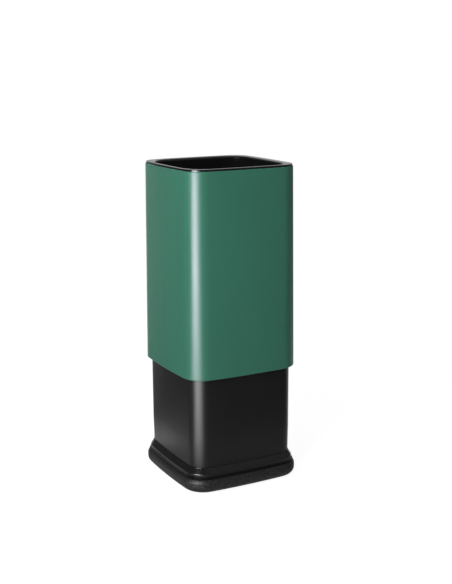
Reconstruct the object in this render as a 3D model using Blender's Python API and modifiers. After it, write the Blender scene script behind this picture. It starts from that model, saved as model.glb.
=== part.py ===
"""Square litter bin: a lift-off sleeve with a black rim, over a bucket that stands on a weighted base.

Metres, +Z up. The origin is on the floor under the middle of the bin, and the faces look along X and Y.
The sleeve is drawn part of the way up off the bucket.
"""

import math
from typing import NamedTuple

import bmesh
import bpy
from mathutils import Matrix, Vector

# Bucket
BUCKET_SIDE = 0.1630  # across the flats, outside
BUCKET_CORNER_RADIUS = 0.0236  # plan radius of its corners, outside
BUCKET_FACE_RADIUS = 0.90  # plan radius of its slightly bowed faces
BUCKET_WALL = 0.0018
BUCKET_FLOOR = 0.0022
BUCKET_FOOT_ROUND = 0.004
BUCKET_TUCK = 0.0008  # how far the wall draws in above the base
BUCKET_TUCK_HEIGHT = 0.040
BEAD_ROLL = 0.0013  # how far the mouth's bead stands out of the wall
BEAD_HEIGHT = 0.006
BEAD_ROUND = 0.0007
BOSS_RADIUS = 0.0045  # blind screw bosses on the bucket's floor
BOSS_HEIGHT = 0.007
BOSS_CAP = 0.001  # material left over the end of each boss's hole

# Sleeve
SLEEVE_HEIGHT = 0.2845
SLEEVE_WALL = 0.0018
SLEEVE_FLARE = 0.0028  # how much wider each side is at the foot than at the top
SLEEVE_LIFT = 0.1412  # how far it is drawn up from its seat
SLEEVE_FOOT_ROUND = 0.0012
SLEEVE_EDGE_ROUND = 0.0004
RETURN_THICKNESS = 0.002  # the top edge turned in to carry the rim
RIB_WIDTH = 0.004  # guide ribs inside, which run on the bucket's bead
RIB_SPACING = 0.080
RIB_TOP_HEIGHT = 0.0007
RIB_FOOT_CLEARANCE = 0.0025
GUIDE_CLEARANCE = 0.0003
MOUTH_ROOM = 0.0065  # from the bucket's mouth up to the turned-in edge, sleeve down

# Rim
RIM_THICKNESS = 0.0028
RIM_SETBACK = 0.001
RIM_OUTER_ROUND = 0.0012
RIM_INNER_ROUND = 0.0030
SKIRT_DEPTH = 0.030
SKIRT_WALL = 0.002
SKIRT_ROUND = 0.0006
SKIRT_CLEARANCE = 0.0016  # to the bucket's mouth, sleeve down
RETURN_CLEARANCE = 0.0006
POST_RADIUS = 0.0030
PILOT_CAP = 0.001  # material left over the end of each screw hole

# Base
FLANGE_HEIGHT = 0.0223
FLANGE_LEDGE = 0.0022  # how far the flange stands out past the sleeve's foot
FLANGE_WALL = 0.0105
FLANGE_TOP_ROUND = 0.0026
FLANGE_UNDER_ROUND = 0.0092
LIP_HEIGHT = 0.0040
LIP_ROUND = 0.0014
SHOULDER_HEIGHT = 0.0042  # the slope from the lip up to the collar
SHOULDER_ROUND = 0.0012
COLLAR_HEIGHT = 0.0024
COLLAR_WALL = 0.0012  # across the collar's top edge
COLLAR_DRAFT = 0.0003
COLLAR_ROUND = 0.0007
COLLAR_EDGE_ROUND = 0.0004
SEAT_CLEARANCE = 0.0004  # between the lip and the sleeve's foot, sleeve down
SOCKET_DEPTH = 0.0179  # how deep the bucket stands in the collar
SOCKET_CLEARANCE = 0.0003
WEB_THICKNESS = 0.0025
BALLAST_THICKNESS = 0.003
BALLAST_CLEARANCE = 0.0006

# Feet
FOOT_STAND = 0.0015  # how far the feet hold the base off the floor
FOOT_RADIUS = 0.006
FOOT_ROUND = 0.0008
FOOT_SEAT_DEPTH = 0.0016
FOOT_STEM_RADIUS = 0.0022
FOOT_STEM_LENGTH = 0.005
FOOT_BOSS_WALL = 0.0018
FOOT_BOSS_OVERLAP = 0.0018  # how far each foot boss runs into the flange's wall
FOOT_BOSS_RISE = 0.0004  # the foot bosses end this far above the base's lower edge

# Screws
BASE_SCREW_SPACING = 0.090
BASE_SCREW_RADIUS = 0.00175
BASE_SCREW_HEAD_RADIUS = 0.0035
BASE_SCREW_HEAD_HEIGHT = 0.0024
RIM_SCREW_RADIUS = 0.0015
RIM_SCREW_FLANGE_RADIUS = 0.0042
RIM_SCREW_FLANGE_THICKNESS = 0.0008
RIM_SCREW_HEAD_RADIUS = 0.0026
RIM_SCREW_HEAD_HEIGHT = 0.0018
SCREW_LAND_MARGIN = 0.0008  # beside each rim screw's flange, to the wall and to the turned-in edge
SCREW_TIP_ROOM = 0.0005
SCREW_CLEARANCE = 0.0003
SOCKET_SHARE = 0.5  # a hexagon socket's radius as a share of its head's

FIT_GAP = 0.0003  # between faces that meet

# How finely round stretches are divided
CORNER_SEGMENTS = 8
FACE_SEGMENTS = 4
FINE_FILLET_SEGMENTS = 2
FILLET_SEGMENTS = 4
FINE_FILLET = 0.002
TURN_STEPS = 16
PEG_SEGMENTS = 20
HEX_SIDES = 6
SHARP_ANGLE = math.radians(35)
WELD = 0.00001
CUT_PAST = 0.001  # how far a cutter runs past the face that it opens

# Half widths, from the bucket outwards
bucket_half = BUCKET_SIDE / 2
bucket_foot_half = bucket_half - BUCKET_TUCK
bead_half = bucket_half + BEAD_ROLL
guide_half = bead_half + GUIDE_CLEARANCE
sleeve_inner_top = guide_half + RIB_TOP_HEIGHT
sleeve_inner_foot = sleeve_inner_top + SLEEVE_FLARE
sleeve_outer_top = sleeve_inner_top + SLEEVE_WALL
sleeve_outer_foot = sleeve_inner_foot + SLEEVE_WALL
rim_half = sleeve_outer_top - RIM_SETBACK
skirt_outer = bucket_half - BUCKET_WALL - SKIRT_CLEARANCE
opening_half = skirt_outer - SKIRT_WALL
return_half = skirt_outer + RETURN_CLEARANCE
lip_half = sleeve_inner_foot - SEAT_CLEARANCE
socket_half = bucket_foot_half + SOCKET_CLEARANCE
collar_top_half = socket_half + COLLAR_WALL
collar_foot_half = collar_top_half + COLLAR_DRAFT
flange_half = sleeve_outer_foot + FLANGE_LEDGE
recess_half = flange_half - FLANGE_WALL

# Heights of the fixed pieces, from the floor up
plinth_bottom = FOOT_STAND
seat_z = plinth_bottom + FLANGE_HEIGHT
lip_top = seat_z + LIP_HEIGHT
shoulder_top = lip_top + SHOULDER_HEIGHT
collar_top = shoulder_top + COLLAR_HEIGHT
web_top = collar_top - SOCKET_DEPTH
web_bottom = web_top - WEB_THICKNESS
ballast_top = web_bottom - FIT_GAP
ballast_bottom = ballast_top - BALLAST_THICKNESS
bucket_bottom = web_top + FIT_GAP
bucket_floor_top = bucket_bottom + BUCKET_FLOOR
sleeve_seated = seat_z + FIT_GAP
bucket_top = sleeve_seated + SLEEVE_HEIGHT - RETURN_THICKNESS - MOUTH_ROOM

# Heights of the lifted pieces, from the sleeve's lower edge
return_bottom = SLEEVE_HEIGHT - RETURN_THICKNESS
rim_bottom = SLEEVE_HEIGHT + FIT_GAP
rim_top = rim_bottom + RIM_THICKNESS
rib_bottom = collar_top - sleeve_seated + RIB_FOOT_CLEARANCE


class Plan(NamedTuple):
    """A family of parallel outlines: one known half width with its corner radius."""

    half: float
    corner: float

    def corner_at(self, half):
        """The corner radius of the family's outline at another half width."""
        return self.corner + half - self.half


class Corner(NamedTuple):
    """One corner of a wall's section: half width, height, fillet radius and plan family."""

    half: float
    z: float
    plan: Plan
    fillet: float = 0.0


def face_radius_at(half):
    """Plan radius of the bowed faces at a half width, so that all faces share their centres."""
    return BUCKET_FACE_RADIUS + half - bucket_half


def corner_centre(half, corner):
    """How far out along X and along Y a corner's arc has its centre."""
    offset = face_radius_at(half) - half
    reach = face_radius_at(half) - corner
    return (math.sqrt(2 * reach**2 - offset**2) - offset) / 2


def diagonal_reach(half, corner):
    """Distance from the axis to an outline's corner, along the diagonal."""
    return corner_centre(half, corner) * math.sqrt(2) + corner


def corner_for_reach(half, reach):
    """The corner radius that gives an outline this reach along the diagonal."""
    face_radius = face_radius_at(half)
    offset = face_radius - half
    slant = math.sqrt(2) * offset
    return (face_radius**2 - offset**2 - reach**2 - slant * reach) / (
        2 * face_radius - 2 * reach - slant
    )


def on_diagonals(distance):
    """The four places at this distance from the axis along the diagonals."""
    side = distance / math.sqrt(2)
    return [(side, side), (-side, side), (-side, -side), (side, -side)]


BODY = Plan(bucket_half, BUCKET_CORNER_RADIUS)

# The rim screws stand in the sleeve's corners, and the opening's corners make room for their flanges
screw_land = RIM_SCREW_FLANGE_RADIUS + SCREW_LAND_MARGIN
rim_screw_reach = diagonal_reach(sleeve_inner_top, BODY.corner_at(sleeve_inner_top)) - screw_land
return_reach = rim_screw_reach - screw_land
OPENING = Plan(return_half, corner_for_reach(return_half, return_reach))

foot_boss_radius = FOOT_RADIUS + SCREW_CLEARANCE + FOOT_BOSS_WALL
recess_reach = diagonal_reach(recess_half, BODY.corner_at(recess_half))
foot_reach = recess_reach + FOOT_BOSS_OVERLAP - foot_boss_radius

RIM_SCREW_PLACES = on_diagonals(rim_screw_reach)
FOOT_PLACES = on_diagonals(foot_reach)
BASE_SCREW_PLACES = on_diagonals(BASE_SCREW_SPACING / math.sqrt(2))


def outline(half, corner):
    """Points round a square with bowed faces and round corners, anticlockwise from the +X face."""
    face_radius = face_radius_at(half)
    offset = face_radius - half
    centre = corner_centre(half, corner)
    face_angle = math.atan2(centre, centre + offset)
    quarter = []
    for step in range(CORNER_SEGMENTS + 1):
        angle = face_angle + (math.pi / 2 - 2 * face_angle) * step / CORNER_SEGMENTS
        quarter.append(Vector((centre + corner * math.cos(angle), centre + corner * math.sin(angle))))
    for step in range(1, FACE_SEGMENTS):
        angle = math.pi / 2 - face_angle + 2 * face_angle * step / FACE_SEGMENTS
        quarter.append(Vector((face_radius * math.cos(angle), face_radius * math.sin(angle) - offset)))
    return [Matrix.Rotation(turn * math.pi / 2, 2) @ point for turn in range(4) for point in quarter]


def fillet_points(before, corner, after):
    """Section points of one corner: the corner itself, or the arc that rounds it."""
    here = Vector((corner.half, corner.z))
    if not corner.fillet:
        return [here]
    back = (Vector((before.half, before.z)) - here).normalized()
    ahead = (Vector((after.half, after.z)) - here).normalized()
    half_angle = back.angle(ahead) / 2
    centre = here + (back + ahead).normalized() * corner.fillet / math.sin(half_angle)
    start = here + back * corner.fillet / math.tan(half_angle) - centre
    sweep = start.angle_signed(here + ahead * corner.fillet / math.tan(half_angle) - centre)
    steps = FINE_FILLET_SEGMENTS if corner.fillet < FINE_FILLET else FILLET_SEGMENTS
    return [centre + Matrix.Rotation(-sweep * step / steps, 2) @ start for step in range(steps + 1)]


def section_points(corners, ring):
    """Every point of a wall's section, with the plan family of the corner that it comes from."""
    points = []
    for index, corner in enumerate(corners):
        at_end = not ring and index in (0, len(corners) - 1)
        after = corners[(index + 1) % len(corners)]
        if at_end:
            found = [Vector((corner.half, corner.z))]
        else:
            found = fillet_points(corners[index - 1], corner, after)
        points += [(point, corner.plan) for point in found]
    return points


def add_object(name, data, collection, parent):
    """A new object in a collection, placed under its parent."""
    obj = bpy.data.objects.new(name, data)
    collection.objects.link(obj)
    obj.parent = parent
    return obj


def shade(mesh):
    """Smooth shading, broken at the hard edges."""
    mesh.shade_smooth()
    mesh.set_sharp_from_angle(angle=SHARP_ANGLE)


def mesh_from(bm, name):
    """A mesh with its faces turned out."""
    bmesh.ops.recalc_face_normals(bm, faces=bm.faces)
    mesh = bpy.data.meshes.new(name)
    bm.to_mesh(mesh)
    bm.free()
    return mesh


def wall_mesh(name, corners, ring):
    """A wall skinned round the plan from its section.

    A ring's section closes on itself. Any other section starts and ends in a filled outline.
    """
    bm = bmesh.new()
    loops = []
    for (half, z), plan in section_points(corners, ring):
        loops.append([bm.verts.new((x, y, z)) for x, y in outline(half, plan.corner_at(half))])
    following = loops[1:] + loops[:1] if ring else loops[1:]
    for one, other in zip(loops, following):
        for i in range(len(one)):
            bm.faces.new((one[i - 1], one[i], other[i], other[i - 1]))
    if not ring:
        bm.faces.new(loops[0])
        bm.faces.new(loops[-1])
    return mesh_from(bm, name)


def pegs_mesh(name, places, radius, bottom, top, sides=PEG_SEGMENTS):
    """Upright cylinders, one at each place."""
    bm = bmesh.new()
    for x, y in places:
        bmesh.ops.create_cone(
            bm,
            cap_ends=True,
            segments=sides,
            radius1=radius,
            radius2=radius,
            depth=top - bottom,
            matrix=Matrix.Translation((x, y, (bottom + top) / 2)),
        )
    return mesh_from(bm, name)


def turned_mesh(name, profile):
    """A profile of radius and height points, top to bottom, turned about Z."""
    mesh = bpy.data.meshes.new(name)
    points = [(radius, 0.0, z) for radius, z in profile]
    mesh.from_pydata(points, [(i, i + 1) for i in range(len(points) - 1)], [])
    obj = bpy.data.objects.new(name, mesh)
    turn = obj.modifiers.new("turn", "SCREW")
    turn.axis = "Z"
    turn.steps = TURN_STEPS
    turn.render_steps = TURN_STEPS
    turn.use_merge_vertices = True
    turn.merge_threshold = WELD
    return evaluated_mesh(obj, name)


def evaluated_mesh(obj, name):
    """The object's shape with its modifiers, as a plain mesh, and the object itself removed."""
    bpy.context.scene.collection.objects.link(obj)
    graph = bpy.context.evaluated_depsgraph_get()
    mesh = bpy.data.meshes.new_from_object(obj.evaluated_get(graph))
    mesh.name = name
    bpy.data.objects.remove(obj)
    bm = bmesh.new()
    bm.from_mesh(mesh)
    bmesh.ops.remove_doubles(bm, verts=bm.verts, dist=WELD)
    bm.to_mesh(mesh)
    bm.free()
    return mesh


def plate_mesh(name, points, bottom, thickness):
    """A flat plate cut to an outline."""
    curve = bpy.data.curves.new(name, "CURVE")
    curve.dimensions = "2D"
    curve.fill_mode = "BOTH"
    curve.extrude = thickness / 2
    spline = curve.splines.new("POLY")
    spline.points.add(len(points) - 1)
    for target, (x, y) in zip(spline.points, points):
        target.co = (x, y, 0.0, 1.0)
    spline.use_cyclic_u = True
    mesh = evaluated_mesh(bpy.data.objects.new(name, curve), name)
    mesh.transform(Matrix.Translation((0.0, 0.0, bottom + thickness / 2)))
    return mesh


class Bin:
    """The bin's collections, parents and materials, and the pieces made in them."""

    def __init__(self):
        self.parts = bpy.data.collections.new("litter_bin")
        self.cutters = bpy.data.collections.new("litter_bin_cutters")
        for collection in (self.parts, self.cutters):
            bpy.context.scene.collection.children.link(collection)
        self.cutters.hide_render = True
        self.fixed = add_object("base_frame", None, self.parts, None)
        self.lifted = add_object("sleeve_slide", None, self.parts, self.fixed)
        self.lifted.location.z = sleeve_seated + SLEEVE_LIFT

    def piece(self, name, mesh, material, parent, place=(0.0, 0.0, 0.0)):
        """A named piece with its material."""
        if not mesh.materials:
            mesh.materials.append(material)
        shade(mesh)
        obj = add_object(name, mesh, self.parts, parent)
        obj.location = place
        return obj

    def cut(self, target, operation, mesh):
        """A Boolean on a piece, with a hidden object made from the mesh."""
        cutter = add_object(mesh.name, mesh, self.cutters, target.parent)
        cutter.hide_render = True
        cutter.display_type = "WIRE"
        change = target.modifiers.new(mesh.name, "BOOLEAN")
        change.operation = operation
        change.object = cutter
        return cutter


def make_material(name, color, roughness, metallic=0.0):
    """A Principled material of one colour."""
    material = bpy.data.materials.new(name)
    material.use_nodes = True
    shader = material.node_tree.nodes["Principled BSDF"]
    shader.inputs["Base Color"].default_value = (*color, 1.0)
    shader.inputs["Roughness"].default_value = roughness
    shader.inputs["Metallic"].default_value = metallic
    return material


def rib_mask_mesh():
    """Upright slabs, two on each face, that keep only the ribs of the rib ring."""
    bm = bmesh.new()
    inner = guide_half - RIB_WIDTH
    outer = sleeve_outer_foot + RIB_WIDTH
    size = Vector((outer - inner, RIB_WIDTH, 2 * SLEEVE_HEIGHT))
    for turn in range(4):
        for side in (-1, 1):
            place = Vector(((inner + outer) / 2, side * RIB_SPACING / 2, SLEEVE_HEIGHT / 2))
            matrix = Matrix.Rotation(turn * math.pi / 2, 4, "Z") @ Matrix.Translation(place)
            bmesh.ops.create_cube(bm, size=1.0, matrix=matrix @ Matrix.Diagonal((*size, 1.0)))
    return mesh_from(bm, "rib_mask")


def inner_half_at(z):
    """Half width of the sleeve's inside, at a height above its lower edge."""
    return sleeve_inner_foot - SLEEVE_FLARE * z / SLEEVE_HEIGHT


def make_sleeve(litter_bin, material):
    """The outer sleeve: a flared shell with a turned-in top edge and guide ribs inside."""
    shell = [
        Corner(sleeve_outer_foot, 0.0, BODY, SLEEVE_FOOT_ROUND),
        Corner(sleeve_outer_top, SLEEVE_HEIGHT, BODY, SLEEVE_EDGE_ROUND),
        Corner(return_half, SLEEVE_HEIGHT, OPENING),
        Corner(return_half, return_bottom, OPENING),
        Corner(inner_half_at(return_bottom), return_bottom, BODY),
        Corner(sleeve_inner_foot, 0.0, BODY, SLEEVE_EDGE_ROUND),
    ]
    rib_top = SLEEVE_HEIGHT - RETURN_THICKNESS / 2
    rib_ring = [
        Corner(guide_half, rib_bottom, BODY),
        Corner(inner_half_at(rib_bottom) + SLEEVE_WALL / 2, rib_bottom, BODY),
        Corner(inner_half_at(rib_top) + SLEEVE_WALL / 2, rib_top, BODY),
        Corner(guide_half, rib_top, BODY),
    ]
    mesh = wall_mesh("outer_sleeve", shell, True)
    sleeve = litter_bin.piece("outer_sleeve", mesh, material, litter_bin.lifted)
    ribs = litter_bin.cut(sleeve, "UNION", wall_mesh("rib_ring", rib_ring, True))
    litter_bin.cut(ribs, "INTERSECT", rib_mask_mesh())
    post_hole = POST_RADIUS + SCREW_CLEARANCE
    low, high = return_bottom - CUT_PAST, SLEEVE_HEIGHT + CUT_PAST
    litter_bin.cut(sleeve, "DIFFERENCE", pegs_mesh("post_holes", RIM_SCREW_PLACES, post_hole, low, high))


def make_rim(litter_bin, material):
    """The rim: a round-edged ring with a skirt, and a locating post over each rim screw."""
    skirt_bottom = rim_bottom - SKIRT_DEPTH
    section = [
        Corner(rim_half, rim_bottom, BODY),
        Corner(rim_half, rim_top, BODY, RIM_OUTER_ROUND),
        Corner(opening_half, rim_top, OPENING, RIM_INNER_ROUND),
        Corner(opening_half, skirt_bottom, OPENING, SKIRT_ROUND),
        Corner(skirt_outer, skirt_bottom, OPENING, SKIRT_ROUND),
        Corner(skirt_outer, rim_bottom, OPENING),
    ]
    mesh = wall_mesh("top_rim", section, True)
    rim = litter_bin.piece("top_rim", mesh, material, litter_bin.lifted)
    post_bottom = return_bottom + FIT_GAP
    post_top = rim_bottom + RIM_THICKNESS / 2
    litter_bin.cut(rim, "UNION", pegs_mesh("posts", RIM_SCREW_PLACES, POST_RADIUS, post_bottom, post_top))
    pilot = RIM_SCREW_RADIUS + SCREW_CLEARANCE
    pilot_top = rim_top - PILOT_CAP
    pilots = pegs_mesh("pilots", RIM_SCREW_PLACES, pilot, post_bottom - CUT_PAST, pilot_top)
    litter_bin.cut(rim, "DIFFERENCE", pilots)


def make_bucket(litter_bin, material):
    """The bucket: a thin wall with a beaded mouth, and blind screw bosses on its floor."""
    cap_inset = BUCKET_FOOT_ROUND * 2
    tuck_bottom = collar_top
    tuck_top = collar_top + BUCKET_TUCK_HEIGHT
    inner_half = bucket_half - BUCKET_WALL
    inner_foot = bucket_foot_half - BUCKET_WALL
    bead_bottom = bucket_top - BEAD_HEIGHT
    section = [
        Corner(bucket_foot_half - cap_inset, bucket_bottom, BODY),
        Corner(bucket_foot_half, bucket_bottom, BODY, BUCKET_FOOT_ROUND),
        Corner(bucket_foot_half, tuck_bottom, BODY),
        Corner(bucket_half, tuck_top, BODY),
        Corner(bucket_half, bead_bottom - BEAD_ROLL, BODY),
        Corner(bead_half, bead_bottom, BODY, BEAD_ROUND),
        Corner(bead_half, bucket_top, BODY, BEAD_ROUND),
        Corner(inner_half, bucket_top, BODY, BEAD_ROUND),
        Corner(inner_half, tuck_top, BODY),
        Corner(inner_foot, tuck_bottom, BODY),
        Corner(inner_foot, bucket_floor_top, BODY, BUCKET_FOOT_ROUND - BUCKET_WALL),
        Corner(inner_foot - cap_inset, bucket_floor_top, BODY),
    ]
    mesh = wall_mesh("inner_bucket", section, False)
    bucket = litter_bin.piece("inner_bucket", mesh, material, litter_bin.fixed)
    boss_top = bucket_floor_top + BOSS_HEIGHT
    boss_bottom = bucket_bottom + BUCKET_FLOOR / 2
    bosses = pegs_mesh("bosses", BASE_SCREW_PLACES, BOSS_RADIUS, boss_bottom, boss_top)
    litter_bin.cut(bucket, "UNION", bosses)
    hole = BASE_SCREW_RADIUS + SCREW_CLEARANCE
    low, high = bucket_bottom - CUT_PAST, boss_top - BOSS_CAP
    litter_bin.cut(bucket, "DIFFERENCE", pegs_mesh("boss_holes", BASE_SCREW_PLACES, hole, low, high))


def make_plinth(litter_bin, material):
    """The base: a thin collar on a sloped shoulder, a lip, a bullnose flange, and a web with foot bosses."""
    section = [
        Corner(socket_half, web_top, BODY),
        Corner(socket_half, collar_top, BODY, COLLAR_EDGE_ROUND),
        Corner(collar_top_half, collar_top, BODY, COLLAR_ROUND),
        Corner(collar_foot_half, shoulder_top, BODY, SHOULDER_ROUND),
        Corner(lip_half, lip_top, BODY, LIP_ROUND),
        Corner(lip_half, seat_z, BODY),
        Corner(flange_half, seat_z, BODY, FLANGE_TOP_ROUND),
        Corner(flange_half, plinth_bottom, BODY, FLANGE_UNDER_ROUND),
        Corner(recess_half, plinth_bottom, BODY, COLLAR_EDGE_ROUND),
        Corner(recess_half, web_bottom, BODY),
    ]
    mesh = wall_mesh("base_plinth", section, False)
    plinth = litter_bin.piece("base_plinth", mesh, material, litter_bin.fixed)
    boss_bottom = plinth_bottom + FOOT_BOSS_RISE
    boss_top = web_bottom + WEB_THICKNESS / 2
    bosses = pegs_mesh("foot_bosses", FOOT_PLACES, foot_boss_radius, boss_bottom, boss_top)
    litter_bin.cut(plinth, "UNION", bosses)
    seat = FOOT_RADIUS + SCREW_CLEARANCE
    seat_top = boss_bottom + FOOT_SEAT_DEPTH
    low = plinth_bottom - CUT_PAST
    litter_bin.cut(plinth, "DIFFERENCE", pegs_mesh("foot_seats", FOOT_PLACES, seat, low, seat_top))
    stem = FOOT_STEM_RADIUS + SCREW_CLEARANCE
    stem_top = seat_top + FOOT_STEM_LENGTH
    stem_holes = pegs_mesh("stem_holes", FOOT_PLACES, stem, seat_top - CUT_PAST, stem_top)
    litter_bin.cut(plinth, "DIFFERENCE", stem_holes)
    hole = BASE_SCREW_RADIUS + SCREW_CLEARANCE
    low, high = web_bottom - CUT_PAST, web_top + CUT_PAST
    litter_bin.cut(plinth, "DIFFERENCE", pegs_mesh("web_holes", BASE_SCREW_PLACES, hole, low, high))


def make_ballast(litter_bin, material):
    """The ballast plate under the web, notched round the foot bosses."""
    half = recess_half - BALLAST_CLEARANCE
    points = outline(half, BODY.corner_at(half))
    mesh = plate_mesh("ballast_plate", points, ballast_bottom, BALLAST_THICKNESS)
    ballast = litter_bin.piece("ballast_plate", mesh, material, litter_bin.fixed)
    low, high = ballast_bottom - CUT_PAST, ballast_top + CUT_PAST
    notch = foot_boss_radius + BALLAST_CLEARANCE
    litter_bin.cut(ballast, "DIFFERENCE", pegs_mesh("foot_notches", FOOT_PLACES, notch, low, high))
    hole = BASE_SCREW_RADIUS + SCREW_CLEARANCE
    litter_bin.cut(ballast, "DIFFERENCE", pegs_mesh("ballast_holes", BASE_SCREW_PLACES, hole, low, high))


def screw_mesh(name, profile, head_bottom, head_height, head_radius):
    """A turned screw, head down, with a hexagon socket in its head."""
    obj = bpy.data.objects.new(name, turned_mesh(name, profile))
    socket_top = head_bottom + head_height / 2
    socket_radius = head_radius * SOCKET_SHARE
    socket = pegs_mesh("socket", [(0.0, 0.0)], socket_radius, head_bottom - CUT_PAST, socket_top, HEX_SIDES)
    cutter = bpy.data.objects.new("socket", socket)
    bpy.context.scene.collection.objects.link(cutter)
    change = obj.modifiers.new("socket", "BOOLEAN")
    change.object = cutter
    mesh = evaluated_mesh(obj, name)
    bpy.data.objects.remove(cutter)
    return mesh


def make_base_screws(litter_bin, material):
    """Pan-head screws from under the ballast plate up into the bucket's bosses."""
    bearing = ballast_bottom - FIT_GAP
    tip = bucket_floor_top + BOSS_HEIGHT - BOSS_CAP - SCREW_TIP_ROOM
    length = tip - bearing
    profile = [
        (0.0, length),
        (BASE_SCREW_RADIUS / 2, length),
        (BASE_SCREW_RADIUS, length - BASE_SCREW_RADIUS),
        (BASE_SCREW_RADIUS, 0.0),
        (BASE_SCREW_HEAD_RADIUS, 0.0),
        (BASE_SCREW_HEAD_RADIUS, -BASE_SCREW_HEAD_HEIGHT / 2),
        (BASE_SCREW_HEAD_RADIUS - BASE_SCREW_HEAD_HEIGHT / 2, -BASE_SCREW_HEAD_HEIGHT),
        (0.0, -BASE_SCREW_HEAD_HEIGHT),
    ]
    head_bottom = -BASE_SCREW_HEAD_HEIGHT
    mesh = screw_mesh("base_screw", profile, head_bottom, BASE_SCREW_HEAD_HEIGHT, BASE_SCREW_HEAD_RADIUS)
    for number, (x, y) in enumerate(BASE_SCREW_PLACES, start=1):
        litter_bin.piece(f"base_screw_{number}", mesh, material, litter_bin.fixed, (x, y, bearing))


def make_rim_screws(litter_bin, material):
    """Flanged screws from inside the sleeve up into the rim's posts."""
    bearing = return_bottom - FIT_GAP
    length = rim_top - PILOT_CAP - SCREW_TIP_ROOM - bearing
    head_bottom = -RIM_SCREW_FLANGE_THICKNESS - RIM_SCREW_HEAD_HEIGHT
    profile = [
        (0.0, length),
        (RIM_SCREW_RADIUS / 2, length),
        (RIM_SCREW_RADIUS, length - RIM_SCREW_RADIUS),
        (RIM_SCREW_RADIUS, 0.0),
        (RIM_SCREW_FLANGE_RADIUS, 0.0),
        (RIM_SCREW_FLANGE_RADIUS, -RIM_SCREW_FLANGE_THICKNESS),
        (RIM_SCREW_HEAD_RADIUS, -RIM_SCREW_FLANGE_THICKNESS),
        (RIM_SCREW_HEAD_RADIUS, head_bottom),
        (0.0, head_bottom),
    ]
    mesh = screw_mesh("rim_screw", profile, head_bottom, RIM_SCREW_HEAD_HEIGHT, RIM_SCREW_HEAD_RADIUS)
    for number, (x, y) in enumerate(RIM_SCREW_PLACES, start=1):
        litter_bin.piece(f"rim_screw_{number}", mesh, material, litter_bin.lifted, (x, y, bearing))


def make_feet(litter_bin, material):
    """Rubber feet: a round pad with a stem pushed up into its boss."""
    pad_top = plinth_bottom + FOOT_BOSS_RISE + FOOT_SEAT_DEPTH - FIT_GAP
    stem_top = pad_top + FOOT_STEM_LENGTH - FIT_GAP
    profile = [
        (0.0, stem_top),
        (FOOT_STEM_RADIUS - FOOT_ROUND, stem_top),
        (FOOT_STEM_RADIUS, stem_top - FOOT_ROUND),
        (FOOT_STEM_RADIUS, pad_top),
        (FOOT_RADIUS, pad_top),
        (FOOT_RADIUS, FOOT_ROUND),
        (FOOT_RADIUS - FOOT_ROUND, 0.0),
        (0.0, 0.0),
    ]
    mesh = turned_mesh("foot", profile)
    for number, (x, y) in enumerate(FOOT_PLACES, start=1):
        litter_bin.piece(f"foot_{number}", mesh, material, litter_bin.fixed, (x, y, 0.0))


def main():
    """Clears the scene and builds the bin."""
    for obj in list(bpy.data.objects):
        bpy.data.objects.remove(obj)
    litter_bin = Bin()
    zinc = make_material("zinc_plated_steel", (0.56, 0.57, 0.58), 0.35, 1.0)
    make_sleeve(litter_bin, make_material("green_sleeve", (0.030, 0.155, 0.098), 0.38))
    make_rim(litter_bin, make_material("black_rim", (0.010, 0.010, 0.011), 0.12))
    make_rim_screws(litter_bin, zinc)
    make_bucket(litter_bin, make_material("black_bucket", (0.012, 0.012, 0.012), 0.34))
    make_plinth(litter_bin, make_material("black_base", (0.014, 0.014, 0.014), 0.48))
    make_ballast(litter_bin, make_material("galvanised_plate", (0.50, 0.51, 0.53), 0.45, 1.0))
    make_base_screws(litter_bin, zinc)
    make_feet(litter_bin, make_material("grey_rubber", (0.045, 0.045, 0.047), 0.75))


main()
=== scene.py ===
"""Dressed model of a square litter bin.

A green sleeve is drawn up off a black bucket, which stands on a stepped black base.
"""

import logging
import math
from contextlib import contextmanager
from dataclasses import astuple, dataclass
from enum import Enum
from typing import Dict, Iterator, List, Mapping, Optional, Sequence, Tuple, Union

import bmesh
import bpy
from mathutils import Matrix, Vector


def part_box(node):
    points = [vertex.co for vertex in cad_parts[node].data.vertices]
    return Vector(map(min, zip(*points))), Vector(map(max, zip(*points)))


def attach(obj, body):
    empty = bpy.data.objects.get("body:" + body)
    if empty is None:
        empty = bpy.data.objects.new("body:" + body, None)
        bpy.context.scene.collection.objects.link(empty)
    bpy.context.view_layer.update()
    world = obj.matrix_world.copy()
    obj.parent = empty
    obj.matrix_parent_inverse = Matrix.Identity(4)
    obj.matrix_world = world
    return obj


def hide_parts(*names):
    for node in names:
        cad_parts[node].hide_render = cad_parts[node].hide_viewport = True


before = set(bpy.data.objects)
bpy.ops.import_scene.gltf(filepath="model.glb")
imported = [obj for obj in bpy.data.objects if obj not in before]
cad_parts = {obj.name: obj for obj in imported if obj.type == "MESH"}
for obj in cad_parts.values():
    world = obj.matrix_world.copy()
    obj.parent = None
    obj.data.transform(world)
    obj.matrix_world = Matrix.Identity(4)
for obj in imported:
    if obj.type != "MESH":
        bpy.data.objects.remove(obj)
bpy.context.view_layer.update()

LOG = logging.getLogger("litter_bin")

Colour = Tuple[float, float, float]
Size = Tuple[float, float, float]
Span = Tuple[float, float]

WHITE = (1.0, 1.0, 1.0, 1.0)
QUARTER_TURN = math.pi / 2
HEX_STEP = math.pi / 3
CORNERS = 4
RIBS_A_FACE = 2
RIB_ROWS = 3

# Points that are closer than this are one point
MERGE = 0.000002

# How finely the walls are divided
CORNER_STEPS = 22
FACE_STEPS = 22
TURN_STEPS = 48
RUN_STEP = 0.008
SUPPORT = 0.0007
ROUND_STEP = math.radians(13)
ROUND_LEAST = 3


class Body(Enum):
    """The bodies that the pieces ride on."""

    BASE = "base"
    SLEEVE = "sleeve"


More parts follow.
